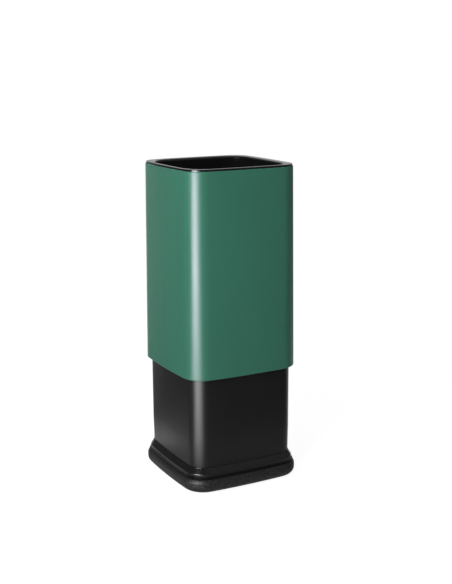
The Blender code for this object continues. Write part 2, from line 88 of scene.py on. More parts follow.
class Slot(Enum):
    """The finishes that the record names."""

    GREEN_SLEEVE = "green_sleeve"
    BLACK_RIM = "black_rim"
    BLACK_BUCKET = "black_bucket"
    BLACK_BASE = "black_base"
    GALVANISED_PLATE = "galvanised_plate"
    ZINC_PLATED_STEEL = "zinc_plated_steel"
    GREY_RUBBER = "grey_rubber"


def in_scene(name: str, data: bpy.types.ID) -> bpy.types.Object:
    """Puts a mesh, a lamp or a camera in the scene.

    Args:
        name: The new object's name.
        data: The mesh, lamp or camera.

    Returns:
        The new object.
    """
    obj = bpy.data.objects.new(name, data)
    bpy.context.scene.collection.objects.link(obj)
    return obj


def direction(azimuth: float, elevation: float) -> Vector:
    """The unit vector towards an azimuth and an elevation, in radians."""
    level = math.cos(elevation)
    return Vector((level * math.cos(azimuth), level * math.sin(azimuth), math.sin(elevation)))


class Term:
    """A value in a node tree, which takes part in sums written the usual way."""

    def __init__(self, writer: "NodeWriter", socket: bpy.types.NodeSocket) -> None:
        """Keeps the writer that makes further nodes, and the socket that gives the value."""
        self.writer = writer
        self.socket = socket

    def __add__(self, other: "Value") -> "Term":
        """This value plus another."""
        return self.writer.math("ADD", self, other)

    def __sub__(self, other: "Value") -> "Term":
        """This value less another."""
        return self.writer.math("SUBTRACT", self, other)

    def __rsub__(self, other: "Value") -> "Term":
        """Another value less this one."""
        return self.writer.math("SUBTRACT", other, self)

    def __mul__(self, other: "Value") -> "Term":
        """This value times another."""
        return self.writer.math("MULTIPLY", self, other)

    def __truediv__(self, other: "Value") -> "Term":
        """This value over another."""
        return self.writer.math("DIVIDE", self, other)

    def __rtruediv__(self, other: "Value") -> "Term":
        """Another value over this one."""
        return self.writer.math("DIVIDE", other, self)


Value = Union[Term, float, int]


class NodeWriter:
    """Adds nodes to a tree and joins them."""

    def __init__(self, tree: bpy.types.NodeTree) -> None:
        """Keeps the tree that the nodes go into."""
        self.tree = tree

    def add(
        self,
        kind: str,
        inputs: Optional[Mapping[Union[str, int], object]] = None,
        **settings: object,
    ) -> bpy.types.Node:
        """Adds a node.

        Args:
            kind: Blender's name for the kind of node.
            inputs: What feeds each of its inputs, by name or number.
            **settings: The node's own settings.

        Returns:
            The new node.
        """
        node = self.tree.nodes.new(kind)
        for name, value in settings.items():
            setattr(node, name, value)
        for key, value in (inputs or {}).items():
            self.feed(node.inputs[key], value)
        return node

    def feed(self, socket: bpy.types.NodeSocket, value: object) -> None:
        """Links a term or socket to an input, or sets the input to a plain value.

        Args:
            socket: The input.
            value: A term, an output socket, or a plain value.
        """
        if isinstance(value, Term):
            value = value.socket
        if isinstance(value, bpy.types.NodeSocket):
            self.tree.links.new(value, socket)
        else:
            socket.default_value = value

    def math(self, operation: str, *values: Value) -> Term:
        """One step of arithmetic.

        Args:
            operation: Blender's name for the operation.
            *values: The one or two values that it takes.

        Returns:
            Its result.
        """
        node = self.add("ShaderNodeMath", operation=operation)
        for socket, value in zip(node.inputs, values):
            self.feed(socket, value)
        return Term(self, node.outputs["Value"])

    def lerp(self, share: Value, first: Value, second: Value) -> Term:
        """The value that lies a share of the way from the first to the second."""
        node = self.add("ShaderNodeMix", {0: share, 2: first, 3: second}, clamp_factor=False)
        return Term(self, node.outputs[0])

    def vector(self, x: Value, y: Value, z: Value) -> bpy.types.NodeSocket:
        """A vector of three values."""
        return self.add("ShaderNodeCombineXYZ", {"X": x, "Y": y, "Z": z}).outputs["Vector"]


class ShapeTree(NodeWriter):
    """A Geometry Nodes tree that shapes a section, and ends in Realize Instances and Set Material."""

    def __init__(self, name: str) -> None:
        """Starts a tree whose inputs so far are the material, and the section as an object.

        Args:
            name: The tree's name.
        """
        super().__init__(bpy.data.node_groups.new(name, "GeometryNodeTree"))
        self.identifiers: Dict[str, str] = {}
        self.entry = self.add("NodeGroupInput")
        self.tree.interface.new_socket("Geometry", in_out="OUTPUT", socket_type="NodeSocketGeometry")
        self.material = self.input("Material", "NodeSocketMaterial")
        held = self.input("Section", "NodeSocketObject")
        self.section = self.add("GeometryNodeObjectInfo", {"Object": held}).outputs["Geometry"]
        measured = self.add("GeometryNodeAttributeDomainSize", {"Geometry": self.section})
        self.count = Term(self, measured.outputs["Point Count"])

    def input(self, name: str, kind: str = "NodeSocketFloat") -> Term:
        """Adds a named input.

        Args:
            name: The input's name.
            kind: Blender's name for its kind of socket.

        Returns:
            The input's value inside the tree.
        """
        item = self.tree.interface.new_socket(name, in_out="INPUT", socket_type=kind)
        self.identifiers[name] = item.identifier
        return Term(self, self.entry.outputs[name])

    def index(self) -> Term:
        """Each point's number."""
        return Term(self, self.add("GeometryNodeInputIndex").outputs["Index"])

    def whole(self, number: Term, step: Value) -> Term:
        """How many whole steps a whole number holds."""
        return self.math("FLOOR", (number + 0.5) / step)

    def around(self, radius: Term, angle: Term) -> Tuple[Term, Term]:
        """The place at a radius and an angle from an axis."""
        return radius * self.math("COSINE", angle), radius * self.math("SINE", angle)

    def turned(self, x: Term, y: Term, angle: Term) -> Tuple[Term, Term]:
        """A place turned about the bin's axis."""
        cos, sin = self.math("COSINE", angle), self.math("SINE", angle)
        return x * cos - y * sin, x * sin + y * cos

    def sampler(self, name: str, index: Value) -> Term:
        """One of the section's values, read at a point's number.

        Args:
            name: The attribute that holds the value.
            index: The point's number.

        Returns:
            The value there.
        """
        held = self.add("GeometryNodeInputNamedAttribute", {"Name": name}, data_type="FLOAT")
        fed = {"Geometry": self.section, "Value": held.outputs["Attribute"], "Index": index}
        return Term(self, self.add("GeometryNodeSampleIndex", fed, data_type="FLOAT").outputs["Value"])

    def skin(self, columns: Value, rows: Value) -> Tuple[bpy.types.NodeSocket, Term, Term]:
        """A sheet of quads to be bent into a wall.

        Args:
            columns: Points along its length.
            rows: Points across it.

        Returns:
            The sheet, and each point's column and row.
        """
        sheet = self.add("GeometryNodeMeshGrid", {"Vertices X": columns, "Vertices Y": rows})
        index = self.index()
        column = self.whole(index, rows)
        return sheet.outputs["Mesh"], column, index - column * rows

    def bend(self, sheet: bpy.types.NodeSocket, x: Value, y: Value, z: Value) -> bpy.types.NodeSocket:
        """Moves a sheet's points to their places, and closes the seams where its edges meet.

        Args:
            sheet: The sheet.
            x: Where each point goes along X.
            y: Where it goes along Y.
            z: Where it goes along Z.

        Returns:
            The bent sheet.
        """
        moved = self.add("GeometryNodeSetPosition", {"Geometry": sheet, "Position": self.vector(x, y, z)})
        fed = {"Geometry": moved.outputs["Geometry"], "Distance": MERGE}
        return self.add("GeometryNodeMergeByDistance", fed).outputs["Geometry"]

    def stand(
        self, piece: bpy.types.NodeSocket, count: Value, place: bpy.types.NodeSocket, angle: Value
    ) -> None:
        """Stands copies of a piece round the bin, and ends the tree.

        Args:
            piece: The piece.
            count: How many copies there are.
            place: Where each of them stands.
            angle: How far each is turned about its own upright axis.
        """
        points = self.add("GeometryNodePoints", {"Count": count, "Position": place})
        euler = self.vector(0.0, 0.0, angle)
        rotation = self.add("FunctionNodeEulerToRotation", {"Euler": euler}).outputs["Rotation"]
        fed = {"Points": points.outputs["Points"], "Instance": piece, "Rotation": rotation}
        self.close(self.add("GeometryNodeInstanceOnPoints", fed).outputs["Instances"])

    def close(self, geometry: bpy.types.NodeSocket) -> None:
        """Ends the tree: smooth shading, instances made real, and the material.

        Args:
            geometry: What the tree has made.
        """
        smooth = self.add("GeometryNodeSetShadeSmooth", {"Geometry": geometry})
        real = self.add("GeometryNodeRealizeInstances", {"Geometry": smooth.outputs["Geometry"]})
        fed = {"Geometry": real.outputs["Geometry"], "Material": self.material}
        dressed = self.add("GeometryNodeSetMaterial", fed)
        self.add("NodeGroupOutput", {"Geometry": dressed.outputs["Geometry"]})

    def grow(
        self, name: str, section: "Section", material: bpy.types.Material, values: Mapping[str, Value]
    ) -> bpy.types.Mesh:
        """Runs the tree once.

        Args:
            name: The new mesh's name.
            section: The section that it shapes.
            material: The finish.
            values: What each other named input is set to.

        Returns:
            The result as a plain mesh.
        """
        carrier = section.carrier()
        seed = in_scene(name, bpy.data.meshes.new(name + "_seed"))
        modifier = seed.modifiers.new("shape", "NODES")
        modifier.node_group = self.tree
        for key, value in {"Section": carrier, "Material": material, **values}.items():
            modifier[self.identifiers[key]] = value
        graph = bpy.context.evaluated_depsgraph_get()
        mesh = bpy.data.meshes.new_from_object(seed.evaluated_get(graph))
        for used in (seed, carrier):
            data = used.data
            bpy.data.objects.remove(used)
            bpy.data.meshes.remove(data)
        mesh.name = name
        mesh.materials.clear()
        mesh.materials.append(material)
        return mesh


class PlanSweep(ShapeTree):
    """Carries a wall's section round the bin's plan, a square with bowed faces and round corners."""

    def __init__(self) -> None:
        """Writes the tree."""
        super().__init__("plan_sweep")
        offset = self.input("Face Offset")
        closed, corner_steps, face_steps = (
            self.input(name, "NodeSocketInt") for name in ("Closed", "Corner Steps", "Face Steps")
        )
        quarter_steps = corner_steps + face_steps
        sheet, column, row = self.skin(quarter_steps * CORNERS + 1, self.count + closed)
        at = self.math("MODULO", row, self.count)
        half, corner, height = (self.sampler(name, at) for name in ("half", "corner", "height"))
        quarter = self.whole(column, quarter_steps)
        step = column - quarter * quarter_steps
        corner_share, face_share = step / corner_steps, (step - corner_steps) / face_steps
        x, y = self.quarter_place(half, corner, offset, corner_share, face_share)
        self.close(self.bend(sheet, *self.turned(x, y, quarter * QUARTER_TURN), height))

    def quarter_place(
        self, half: Term, corner: Term, offset: Term, corner_share: Term, face_share: Term
    ) -> Tuple[Term, Term]:
        """Where a point of the first quarter lies: on its corner, or on the bowed face after it.

        Args:
            half: The outline's half width.
            corner: Its corner radius.
            offset: How far behind the axis the bowed face has its centre.
            corner_share: How far round the corner the point is. It passes 1 on the face.
            face_share: How far along the face the point is. It is under 0 on the corner.

        Returns:
            The point's x and y.
        """
        radius = half + offset
        reach = radius - corner
        centre = (self.math("SQRT", reach * reach * 2 - offset * offset) - offset) / 2
        face_angle = self.math("ARCTAN2", centre, centre + offset)
        corner_angle = face_angle + (QUARTER_TURN - face_angle * 2) * self.math("MINIMUM", corner_share, 1.0)
        bow_angle = QUARTER_TURN - face_angle + face_angle * 2 * self.math("MAXIMUM", face_share, 0.0)
        corner_x, corner_y = self.around(corner, corner_angle)
        face_x, face_y = self.around(radius, bow_angle)
        on_face = self.math("GREATER_THAN", face_share, 0.0)
        x = self.lerp(on_face, centre + corner_x, face_x)
        y = self.lerp(on_face, centre + corner_y, face_y - offset)
        return x, y


class TurnedSet(ShapeTree):
    """Turns a section about its own axis, and stands copies of the piece in a ring."""

    def __init__(self) -> None:
        """Writes the tree."""
        super().__init__("turned_set")
        steps, copies, seed = (self.input(name, "NodeSocketInt") for name in ("Steps", "Count", "Seed"))
        reach, first_angle, height, spin = (
            self.input(name) for name in ("Reach", "First Angle", "Height", "Spin")
        )
        sheet, column, row = self.skin(steps + 1, self.count)
        half, level, hexagon = (self.sampler(name, row) for name in ("half", "height", "hexagon"))
        angle = column / steps * math.tau
        wedge = self.math("MODULO", angle, HEX_STEP) - HEX_STEP / 2
        flat = math.cos(HEX_STEP / 2) / self.math("COSINE", wedge)
        radius = half * self.lerp(hexagon, 1.0, flat)
        piece = self.bend(sheet, *self.around(radius, angle), level)
        bearing = first_angle + self.index() / copies * math.tau
        place = self.vector(*self.around(reach, bearing), height)
        drawn = self.add("FunctionNodeRandomValue", {2: 0.0, 3: spin, "Seed": seed}, data_type="FLOAT")
        self.stand(piece, copies, place, Term(self, drawn.outputs[1]))


class GuideRibs(ShapeTree):
    """Stands guide ribs inside a flared wall, on each of its faces."""

    def __init__(self) -> None:
        """Writes the tree."""
        super().__init__("guide_ribs")
        guide, wall_foot, wall_top = (self.input(name) for name in ("Guide Half", "Wall Foot", "Wall Top"))
        bottom, top, lead_in = (self.input(name) for name in ("Bottom", "Top", "Lead In"))
        spacing, sag = (self.input(name) for name in ("Spacing", "Sag"))
        sheet, column, row = self.skin(self.count, RIB_ROWS)
        started = self.math("MINIMUM", row, 1.0)
        past_lead = self.math("MAXIMUM", row - 1.0, 0.0)
        level = bottom + started * lead_in + past_lead * (top - bottom - lead_in)
        depth = self.math("MAXIMUM", self.sampler("half", column), 1.0 - started)
        wall = self.lerp((level - bottom) / (top - bottom), wall_foot, wall_top)
        rib = self.bend(sheet, self.lerp(depth, guide, wall), self.sampler("height", column), level)
        number = self.index()
        face = self.whole(number, RIBS_A_FACE)
        side = number - face * RIBS_A_FACE - (RIBS_A_FACE - 1) / 2
        turn = face * QUARTER_TURN
        place = self.vector(*self.turned(sag * -1.0, side * spacing, turn), 0.0)
        self.stand(rib, CORNERS * RIBS_A_FACE, place, turn)


@dataclass(frozen=True)
class PlanFamily:
    """Parallel outlines, known by one half width and its corner radius."""

    half: float
    corner: float

    def corner_at(self, half: float) -> float:
        """The corner radius of the family's outline at another half width."""
        return self.corner + half - self.half


BODY_PLAN = PlanFamily(0.0815, 0.0236)
AXIS = PlanFamily(0.0, 0.0)


@dataclass(frozen=True)
class Stop:
    """A point of a finished section."""

    half: float
    height: float
    corner: float
    hexagon: float

    def towards(self, other: "Stop", share: float) -> "Stop":
        """The point that lies a share of the way to another."""
        pairs = zip(astuple(self), astuple(other))
        return Stop(*(here + (there - here) * share for here, there in pairs))

    def distance(self, other: "Stop") -> float:
        """How far another point lies from this one, in the section's plane."""
        return math.hypot(other.half - self.half, other.height - self.height)


@dataclass(frozen=True)
class Bend:
    """A corner of a section: half width, height, the radius that rounds it, and its plan family."""

    half: float
    height: float
    radius: float = 0.0
    family: PlanFamily = BODY_PLAN
    hexagon: float = 0.0

    @property
    def place(self) -> Vector:
        """Where the corner lies in the section's plane."""
        return Vector((self.half, self.height))

    def stop(self, half: float, height: float) -> Stop:
        """A point of the section that belongs to this corner."""
        return Stop(half, height, self.family.corner_at(half), self.hexagon)


@dataclass
class Section:
    """A wall's or a turned piece's section, drawn corner by corner."""

    name: str
    bends: Sequence[Bend]
    closed: bool = False

    def rounded(self, before: Bend, bend: Bend, after: Bend) -> List[Stop]:
        """The points of one corner.

        Args:
            before: The corner before it.
            bend: The corner.
            after: The corner after it.

        Returns:
            The corner itself, or points on the arc that rounds it.
        """
        if not bend.radius:
            return [bend.stop(bend.half, bend.height)]
        here = bend.place
        back = (before.place - here).normalized()
        ahead = (after.place - here).normalized()
        half_angle = back.angle(ahead) / 2
        centre = here + (back + ahead).normalized() * bend.radius / math.sin(half_angle)
        run = bend.radius / math.tan(half_angle)
        start = here + back * run - centre
        sweep = start.angle_signed(here + ahead * run - centre)
        steps = max(ROUND_LEAST, math.ceil(abs(sweep) / ROUND_STEP))
        places = [centre + Matrix.Rotation(-sweep * k / steps, 2) @ start for k in range(steps + 1)]
        return [bend.stop(place.x, place.y) for place in places]

    def runs(self, start: Stop, end: Stop) -> List[Stop]:
        """The points between two corners, close beside both ends and evenly spaced between.

        Args:
            start: The last point of one corner.
            end: The first point of the next.

        Returns:
            The points strictly between them, or none where the two are close together.
        """
        length = start.distance(end)
        inner = length - 2 * SUPPORT
        if inner < 2 * SUPPORT:
            return []
        count = max(1, math.ceil(inner / RUN_STEP))
        return [start.towards(end, (SUPPORT + inner / count * k) / length) for k in range(count + 1)]

    def stops(self) -> List[Stop]:
        """The whole section.

        Returns:
            Every point of it, in order.
        """
        count = len(self.bends)
        arcs = [
            self.rounded(self.bends[number - 1], bend, self.bends[(number + 1) % count])
            for number, bend in enumerate(self.bends)
        ]
        found: List[Stop] = []
        for number, arc in enumerate(arcs):
            found += arc
            if self.closed or number < count - 1:
                found += self.runs(arc[-1], arcs[(number + 1) % count][0])
        return found

    def carrier(self) -> bpy.types.Object:
        """The section in a form that a tree can read.

        Returns:
            An object whose points carry the section's values.
        """
        stops = self.stops()
        mesh = bpy.data.meshes.new(self.name)
        mesh.from_pydata([(stop.half, 0.0, stop.height) for stop in stops], [], [])
        for name in ("half", "height", "corner", "hexagon"):
            held = mesh.attributes.new(name, "FLOAT", "POINT")
            held.data.foreach_set("value", [getattr(stop, name) for stop in stops])
        return in_scene(self.name, mesh)


@contextmanager
def opened(mesh: bpy.types.Mesh) -> Iterator[bmesh.types.BMesh]:
    """Opens a mesh for changes, and writes it back with its faces turned outwards.

    Args:
        mesh: The mesh, which is changed.

    Yields:
        The mesh as it is open for changes.
    """
    bm = bmesh.new()
    bm.from_mesh(mesh)
    yield bm
    bmesh.ops.recalc_face_normals(bm, faces=bm.faces)
    bm.to_mesh(mesh)
    bm.free()


def closed_up(mesh: bpy.types.Mesh) -> bpy.types.Mesh:
    """Takes a closed mesh's edges and faces of no size out, and turns the rest outwards.

    Args:
        mesh: The mesh, which is changed.

    Returns:
        The same mesh.
    """
    with opened(mesh) as bm:
        bmesh.ops.dissolve_degenerate(bm, dist=MERGE / 4, edges=bm.edges)
    mesh.shade_smooth()
    return mesh


def backed(mesh: bpy.types.Mesh, top: float) -> bpy.types.Mesh:
    """Closes the backs and the upper ends of ribs that are open there, with sharp edges round them.

    Args:
        mesh: A mesh of open ribs, which is changed.
        top: The height of their upper ends.

    Returns:
        The same mesh.
    """
    with opened(mesh) as bm:
        rims = [edge for edge in bm.edges if edge.is_boundary]
        upper = [edge for edge in rims if min(corner.co.z for corner in edge.verts) > top - MERGE]
        uses = [corner for edge in upper for corner in edge.verts]
        ends = [corner for corner in uses if uses.count(corner) == 1]
        while ends:
            end = ends.pop()
            mate = min(ends, key=lambda other: (other.co - end.co).length)
            ends.remove(mate)
            upper.append(bm.edges.new((end, mate)))
        bmesh.ops.edgeloop_fill(bm, edges=upper)
        bmesh.ops.edgeloop_fill(bm, edges=[edge for edge in bm.edges if edge.is_boundary])
        for edge in rims:
            edge.smooth = False
    return mesh


def joined(name: str, meshes: Sequence[bpy.types.Mesh]) -> bpy.types.Mesh:
    """One mesh made of several that share a material.

    Args:
        name: The new mesh's name.
        meshes: The meshes, which are removed.

    Returns:
        The new mesh.
    """
    bm = bmesh.new()
    for mesh in meshes:
        bm.from_mesh(mesh)
    whole = bpy.data.meshes.new(name)
    bm.to_mesh(whole)
    bm.free()
    whole.materials.append(meshes[0].materials[0])
    for mesh in meshes:
        bpy.data.meshes.remove(mesh)
    whole.shade_smooth()
    return whole


def hand_over(name: str, mesh: bpy.types.Mesh, body: Body, slot: Slot, nodes: Sequence[str]) -> None:
    """Puts a finished mesh in the scene as a piece of the part.

    Args:
        name: The piece's name.
        mesh: Its mesh, in the part's frame.
        body: The body that it rides on.
        slot: The finish that it takes.
        nodes: The solids that it stands for.
    """
    obj = in_scene(name, mesh)
    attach(obj, body.value)
    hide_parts(*nodes)
    LOG.info("%s: %d faces on %s, in %s", name, len(mesh.polygons), body.value, slot.value)


def numbered(stem: str) -> List[str]:
    """The names of a set of solids, one at each corner."""
    return [f"{stem}_{number}" for number in range(1, CORNERS + 1)]


@dataclass(frozen=True)
class Noise:
    """Cloudy noise: its features' size in metres, its finer layers, and how strong those are."""

    size: Union[float, Size]
    detail: float
    roughness: float = 0.5

    @property
    def lengths(self) -> Size:
        """The features' size along each axis."""
        return self.size if isinstance(self.size, tuple) else (self.size,) * 3


class ShaderWriter(NodeWriter):
    """Writes a material's nodes round its Principled surface."""

    def __init__(self, name: str) -> None:
        """Starts a new material.

        Args:
            name: Its name.
        """
        self.material = bpy.data.materials.new(name)
        self.material.use_nodes = True
        super().__init__(self.material.node_tree)
        self.surface = self.tree.nodes["Principled BSDF"]
        self.coords = self.add("ShaderNodeTexCoord").outputs["Object"]

    def put(self, **inputs: object) -> None:
        """Feeds the surface's inputs, named with underscores for spaces."""
        for name, value in inputs.items():
            self.feed(self.surface.inputs[name.replace("_", " ")], value)

    def stretched(self, size: Size) -> bpy.types.NodeSocket:
        """Coordinates in which one unit is this long along each axis."""
        scale = tuple(1.0 / length for length in size)
        return self.add("ShaderNodeMapping", {"Vector": self.coords, "Scale": scale}).outputs["Vector"]

    def noise(self, noise: Noise) -> Term:
        """The value of a noise.

        Args:
            noise: The noise.

        Returns:
            Its value, from 0 to 1.
        """
        fed = {"Vector": self.stretched(noise.lengths), "Scale": 1.0}
        fed.update({"Detail": noise.detail, "Roughness": noise.roughness})
        return Term(self, self.add("ShaderNodeTexNoise", fed).outputs[0])

    def cells(self, size: float, output: str) -> bpy.types.NodeSocket:
        """Cells of about this size in metres: the distance to the nearest point, or its colour."""
        fed = {"Vector": self.stretched((size, size, size)), "Scale": 1.0}
        return self.add("ShaderNodeTexVoronoi", fed).outputs[output]

    def ranged(self, value: Value, span: Span, ends: Span = (0.0, 1.0)) -> Term:
        """A value carried from one range to another, and held at its ends.

        Args:
            value: The value.
            span: Where the first range starts and ends.
            ends: The results there.

        Returns:
            The value in the second range.
        """
        fed = {0: value, 1: span[0], 2: span[1], 3: ends[0], 4: ends[1]}
        return Term(self, self.add("ShaderNodeMapRange", fed).outputs[0])

    def mixed(self, share: Value, first: object, second: object) -> bpy.types.NodeSocket:
        """A colour between two.

        Args:
            share: How far it lies from the first to the second.
            first: A colour, or a socket that gives one.
            second: The other.

        Returns:
            The colour.
        """
        colours = [(*c, 1.0) if isinstance(c, tuple) else c for c in (first, second)]
        node = self.add("ShaderNodeMix", {0: share, 6: colours[0], 7: colours[1]}, data_type="RGBA")
        return node.outputs[2]

    def axis(self, name: str) -> Term:
        """One of the object's own coordinates."""
        return Term(self, self.add("ShaderNodeSeparateXYZ", {0: self.coords}).outputs[name])

    def facing_up(self) -> Term:
        """How far the surface faces up: 1 for level, 0 for upright, below 0 for undersides."""
        normal = self.add("ShaderNodeNewGeometry").outputs["Normal"]
        return Term(self, self.add("ShaderNodeSeparateXYZ", {0: normal}).outputs["Z"])

    def raised(
        self, height: Value, depth: float, below: Optional[bpy.types.NodeSocket] = None
    ) -> bpy.types.NodeSocket:
        """A normal bent by a relief.

        Args:
            height: The relief, from 0 to 1.
            depth: How deep it is, in metres.
            below: A normal that a coarser relief has bent already.

        Returns:
            The bent normal.
        """
        fed: Dict[Union[str, int], object] = {"Height": height, "Distance": depth, "Strength": 1.0}
        if below is not None:
            fed["Normal"] = below
        return self.add("ShaderNodeBump", fed).outputs["Normal"]


@dataclass(frozen=True)
class Dust:
    """Dust that settles in patches on what faces up."""

    colour: Colour
    patches: Noise
    patch_span: Span
    thinnest: float
    tilt: float
    share: float

    def settle(self, writer: ShaderWriter) -> Term:
        """How much of the surface the dust covers."""
        held = writer.ranged(writer.facing_up(), (self.tilt, 1.0), (0.0, self.share))
        return held * writer.ranged(writer.noise(self.patches), self.patch_span, (self.thinnest, 1.0))


def shaded(colour: Colour, factor: float) -> Colour:
    """A colour made lighter or darker."""
    return tuple(channel * factor for channel in colour)


@dataclass(frozen=True)
class Finish:
    """A finish: its slot, mean colour, roughness and gloss, and how far tone and roughness stray."""

    slot: Slot
    colour: Colour
    roughness: float
    specular: float = 0.5
    tones: Span = (0.85, 1.2)
    stray: Span = (0.03, 0.03)
    stray_span: Span = (0.3, 0.7)

    def material(self) -> bpy.types.Material:
        """The finish as a material.

        Returns:
            The material, which is written the first time it is asked for.
        """
        name = self.slot.value + "_finish"
        if name in bpy.data.materials:
            return bpy.data.materials[name]
        writer = ShaderWriter(name)
        writer.put(Specular_IOR_Level=self.specular)
        self.dress(writer)
        return writer.material

    def toned(self, writer: ShaderWriter, share: Term) -> bpy.types.NodeSocket:
        """The colour, which goes from its dark tone to its light one by a share."""
        dark, light = (shaded(self.colour, tone) for tone in self.tones)
        return writer.mixed(share, dark, light)

    def glossed(self, writer: ShaderWriter, value: Term) -> Term:
        """The roughness, which strays to both sides of its mean as a value rises."""
        ends = (self.roughness - self.stray[0], self.roughness + self.stray[1])
        return writer.ranged(value, self.stray_span, ends)

    def dress(self, writer: ShaderWriter) -> None:
        """Writes the finish's own nodes."""
        raise NotImplementedError


@dataclass(frozen=True)
class SatinGreen(Finish):
    """Satin moulded green: faint flow tones, a fine grain, and rubbed edges at the foot and the top."""

    slot: Slot = Slot.GREEN_SLEEVE
    colour: Colour = (0.033, 0.152, 0.100)
    roughness: float = 0.30
    specular: float = 0.4
    tones: Span = (0.94, 1.06)
    stray: Span = (0.015, 0.045)
    stray_span: Span = (0.25, 0.75)
    # Painted highlight colour: a violet specular tint that stands in for the bluish light in the sleeve's
    # highlights
    painted_highlight_tint: Colour = (0.97, 0.73, 0.97)
    foot: float = 0.0
    top: float = 0.0
    flow: Noise = Noise((0.07, 0.07, 0.16), 3.0)
    haze: Noise = Noise((0.02, 0.02, 0.07), 3.0)
    speck: Noise = Noise(0.0011, 1.0)
    speck_span: Span = (0.70, 0.80)
    speck_share: float = 0.35
    speck_tone: float = 1.25
    edge: float = 0.0014
    wear: Noise = Noise(0.006, 3.0)
    wear_span: Span = (0.35, 0.65)
    wear_share: Span = (0.25, 0.9)
    wear_tone: float = 1.22
    wear_dulling: float = 0.08
    waves: Noise = Noise(0.045, 1.0)
    wave_depth: float = 0.00005
    grain: Noise = Noise(0.0007, 2.0)
    grain_depth: float = 0.000006

    def dress(self, writer: ShaderWriter) -> None:
        """Writes the finish's own nodes.

        Args:
            writer: The material's writer.
        """
        speck = writer.ranged(writer.noise(self.speck), self.speck_span, (0.0, self.speck_share))
        tone = self.toned(writer, writer.noise(self.flow))
        tone = writer.mixed(speck, tone, shaded(self.colour, self.speck_tone))
        height = writer.axis("Z")
        at_foot = writer.ranged(height, (self.foot, self.foot + self.edge), (1.0, 0.0))
        at_top = writer.ranged(height, (self.top - self.edge, self.top))
        worn = (at_foot + at_top) * writer.ranged(writer.noise(self.wear), self.wear_span, self.wear_share)
        tone = writer.mixed(worn, tone, shaded(self.colour, self.wear_tone))
        gloss = self.glossed(writer, writer.noise(self.haze)) + worn * self.wear_dulling
        waves = writer.raised(writer.noise(self.waves), self.wave_depth)
        grain = writer.raised(writer.noise(self.grain), self.grain_depth, waves)
        # The specular tint paints a bluish colour into the sleeve's highlights
        writer.put(Base_Color=tone, Roughness=gloss, Normal=grain, Specular_Tint=(*self.painted_highlight_tint, 1.0))


@dataclass(frozen=True)
class GlossBlack(Finish):
    """Glossy black: a spotless mirror skin with hairline marks, smears and a little dust on top."""

    slot: Slot = Slot.BLACK_RIM
    colour: Colour = (0.006, 0.006, 0.0065)
    roughness: float = 0.12
    tones: Span = (0.8, 1.2)
    stray: Span = (0.03, 0.04)
    smear: Noise = Noise((0.03, 0.03, 0.012), 4.0, 0.6)
    hair_along: Noise = Noise((0.0004, 0.02, 0.02), 1.0)
    hair_across: Noise = Noise((0.02, 0.0004, 0.02), 1.0)
    hair_span: Span = (0.70, 0.78)
    hair_dulling: float = 0.12
    dust: Dust = Dust(
        colour=(0.22, 0.22, 0.21),
        patches=Noise(0.0009, 2.0),
        patch_span=(0.62, 0.75),
        thinnest=0.0,
        tilt=0.4,
        share=0.10,
    )
    peel: Noise = Noise(0.0035, 2.0)
    peel_depth: float = 0.000012

    def dress(self, writer: ShaderWriter) -> None:
        """Writes the finish's own nodes.

        Args:
            writer: The material's writer.
        """
        smear = writer.noise(self.smear)
        hair = writer.math("MAXIMUM", writer.noise(self.hair_along), writer.noise(self.hair_across))
        marks = writer.ranged(hair, self.hair_span, (0.0, self.hair_dulling))
        dust = self.dust.settle(writer)
        tone = writer.mixed(dust, self.toned(writer, smear), self.dust.colour)
        gloss = self.glossed(writer, smear) + marks + dust
        peel = writer.raised(writer.noise(self.peel), self.peel_depth)
        writer.put(Base_Color=tone, Roughness=gloss, Normal=peel)


@dataclass(frozen=True)
class SatinBlack(Finish):
    """Satin black: soft flow marks, a fine grain, and faint upright rubs where the sleeve slides."""

    slot: Slot = Slot.BLACK_BUCKET
    colour: Colour = (0.0062, 0.0062, 0.0062)
    roughness: float = 0.32
    specular: float = 0.4
    tones: Span = (0.85, 1.15)
    flow: Noise = Noise((0.05, 0.05, 0.11), 3.0)
    rubs: Noise = Noise((0.0011, 0.0011, 0.055), 2.0)
    rub_span: Span = (0.62, 0.74)
    rub_share: float = 0.30
    rub_tone: float = 2.2
    rub_dulling: float = 0.2
    patch: Noise = Noise(0.05, 2.0)
    patch_span: Span = (0.45, 0.65)
    dust: Dust = Dust(
        colour=(0.16, 0.155, 0.15),
        patches=Noise(0.0016, 3.0),
        patch_span=(0.4, 0.7),
        thinnest=0.2,
        tilt=0.5,
        share=0.12,
    )
    waves: Noise = Noise(0.06, 1.0)
    wave_depth: float = 0.00006
    grain: Noise = Noise(0.0008, 2.0)
    grain_depth: float = 0.000007

    def dress(self, writer: ShaderWriter) -> None:
        """Writes the finish's own nodes.

        Args:
            writer: The material's writer.
        """
        flow = writer.noise(self.flow)
        patch = writer.ranged(writer.noise(self.patch), self.patch_span)
        rub = writer.ranged(writer.noise(self.rubs), self.rub_span, (0.0, self.rub_share)) * patch
        tone = writer.mixed(rub, self.toned(writer, flow), shaded(self.colour, self.rub_tone))
        dust = self.dust.settle(writer)
        tone = writer.mixed(dust, tone, self.dust.colour)
        gloss = self.glossed(writer, flow) + rub * self.rub_dulling + dust
        waves = writer.raised(writer.noise(self.waves), self.wave_depth)
        grain = writer.raised(writer.noise(self.grain), self.grain_depth, waves)
        writer.put(Base_Color=tone, Roughness=gloss, Normal=grain)


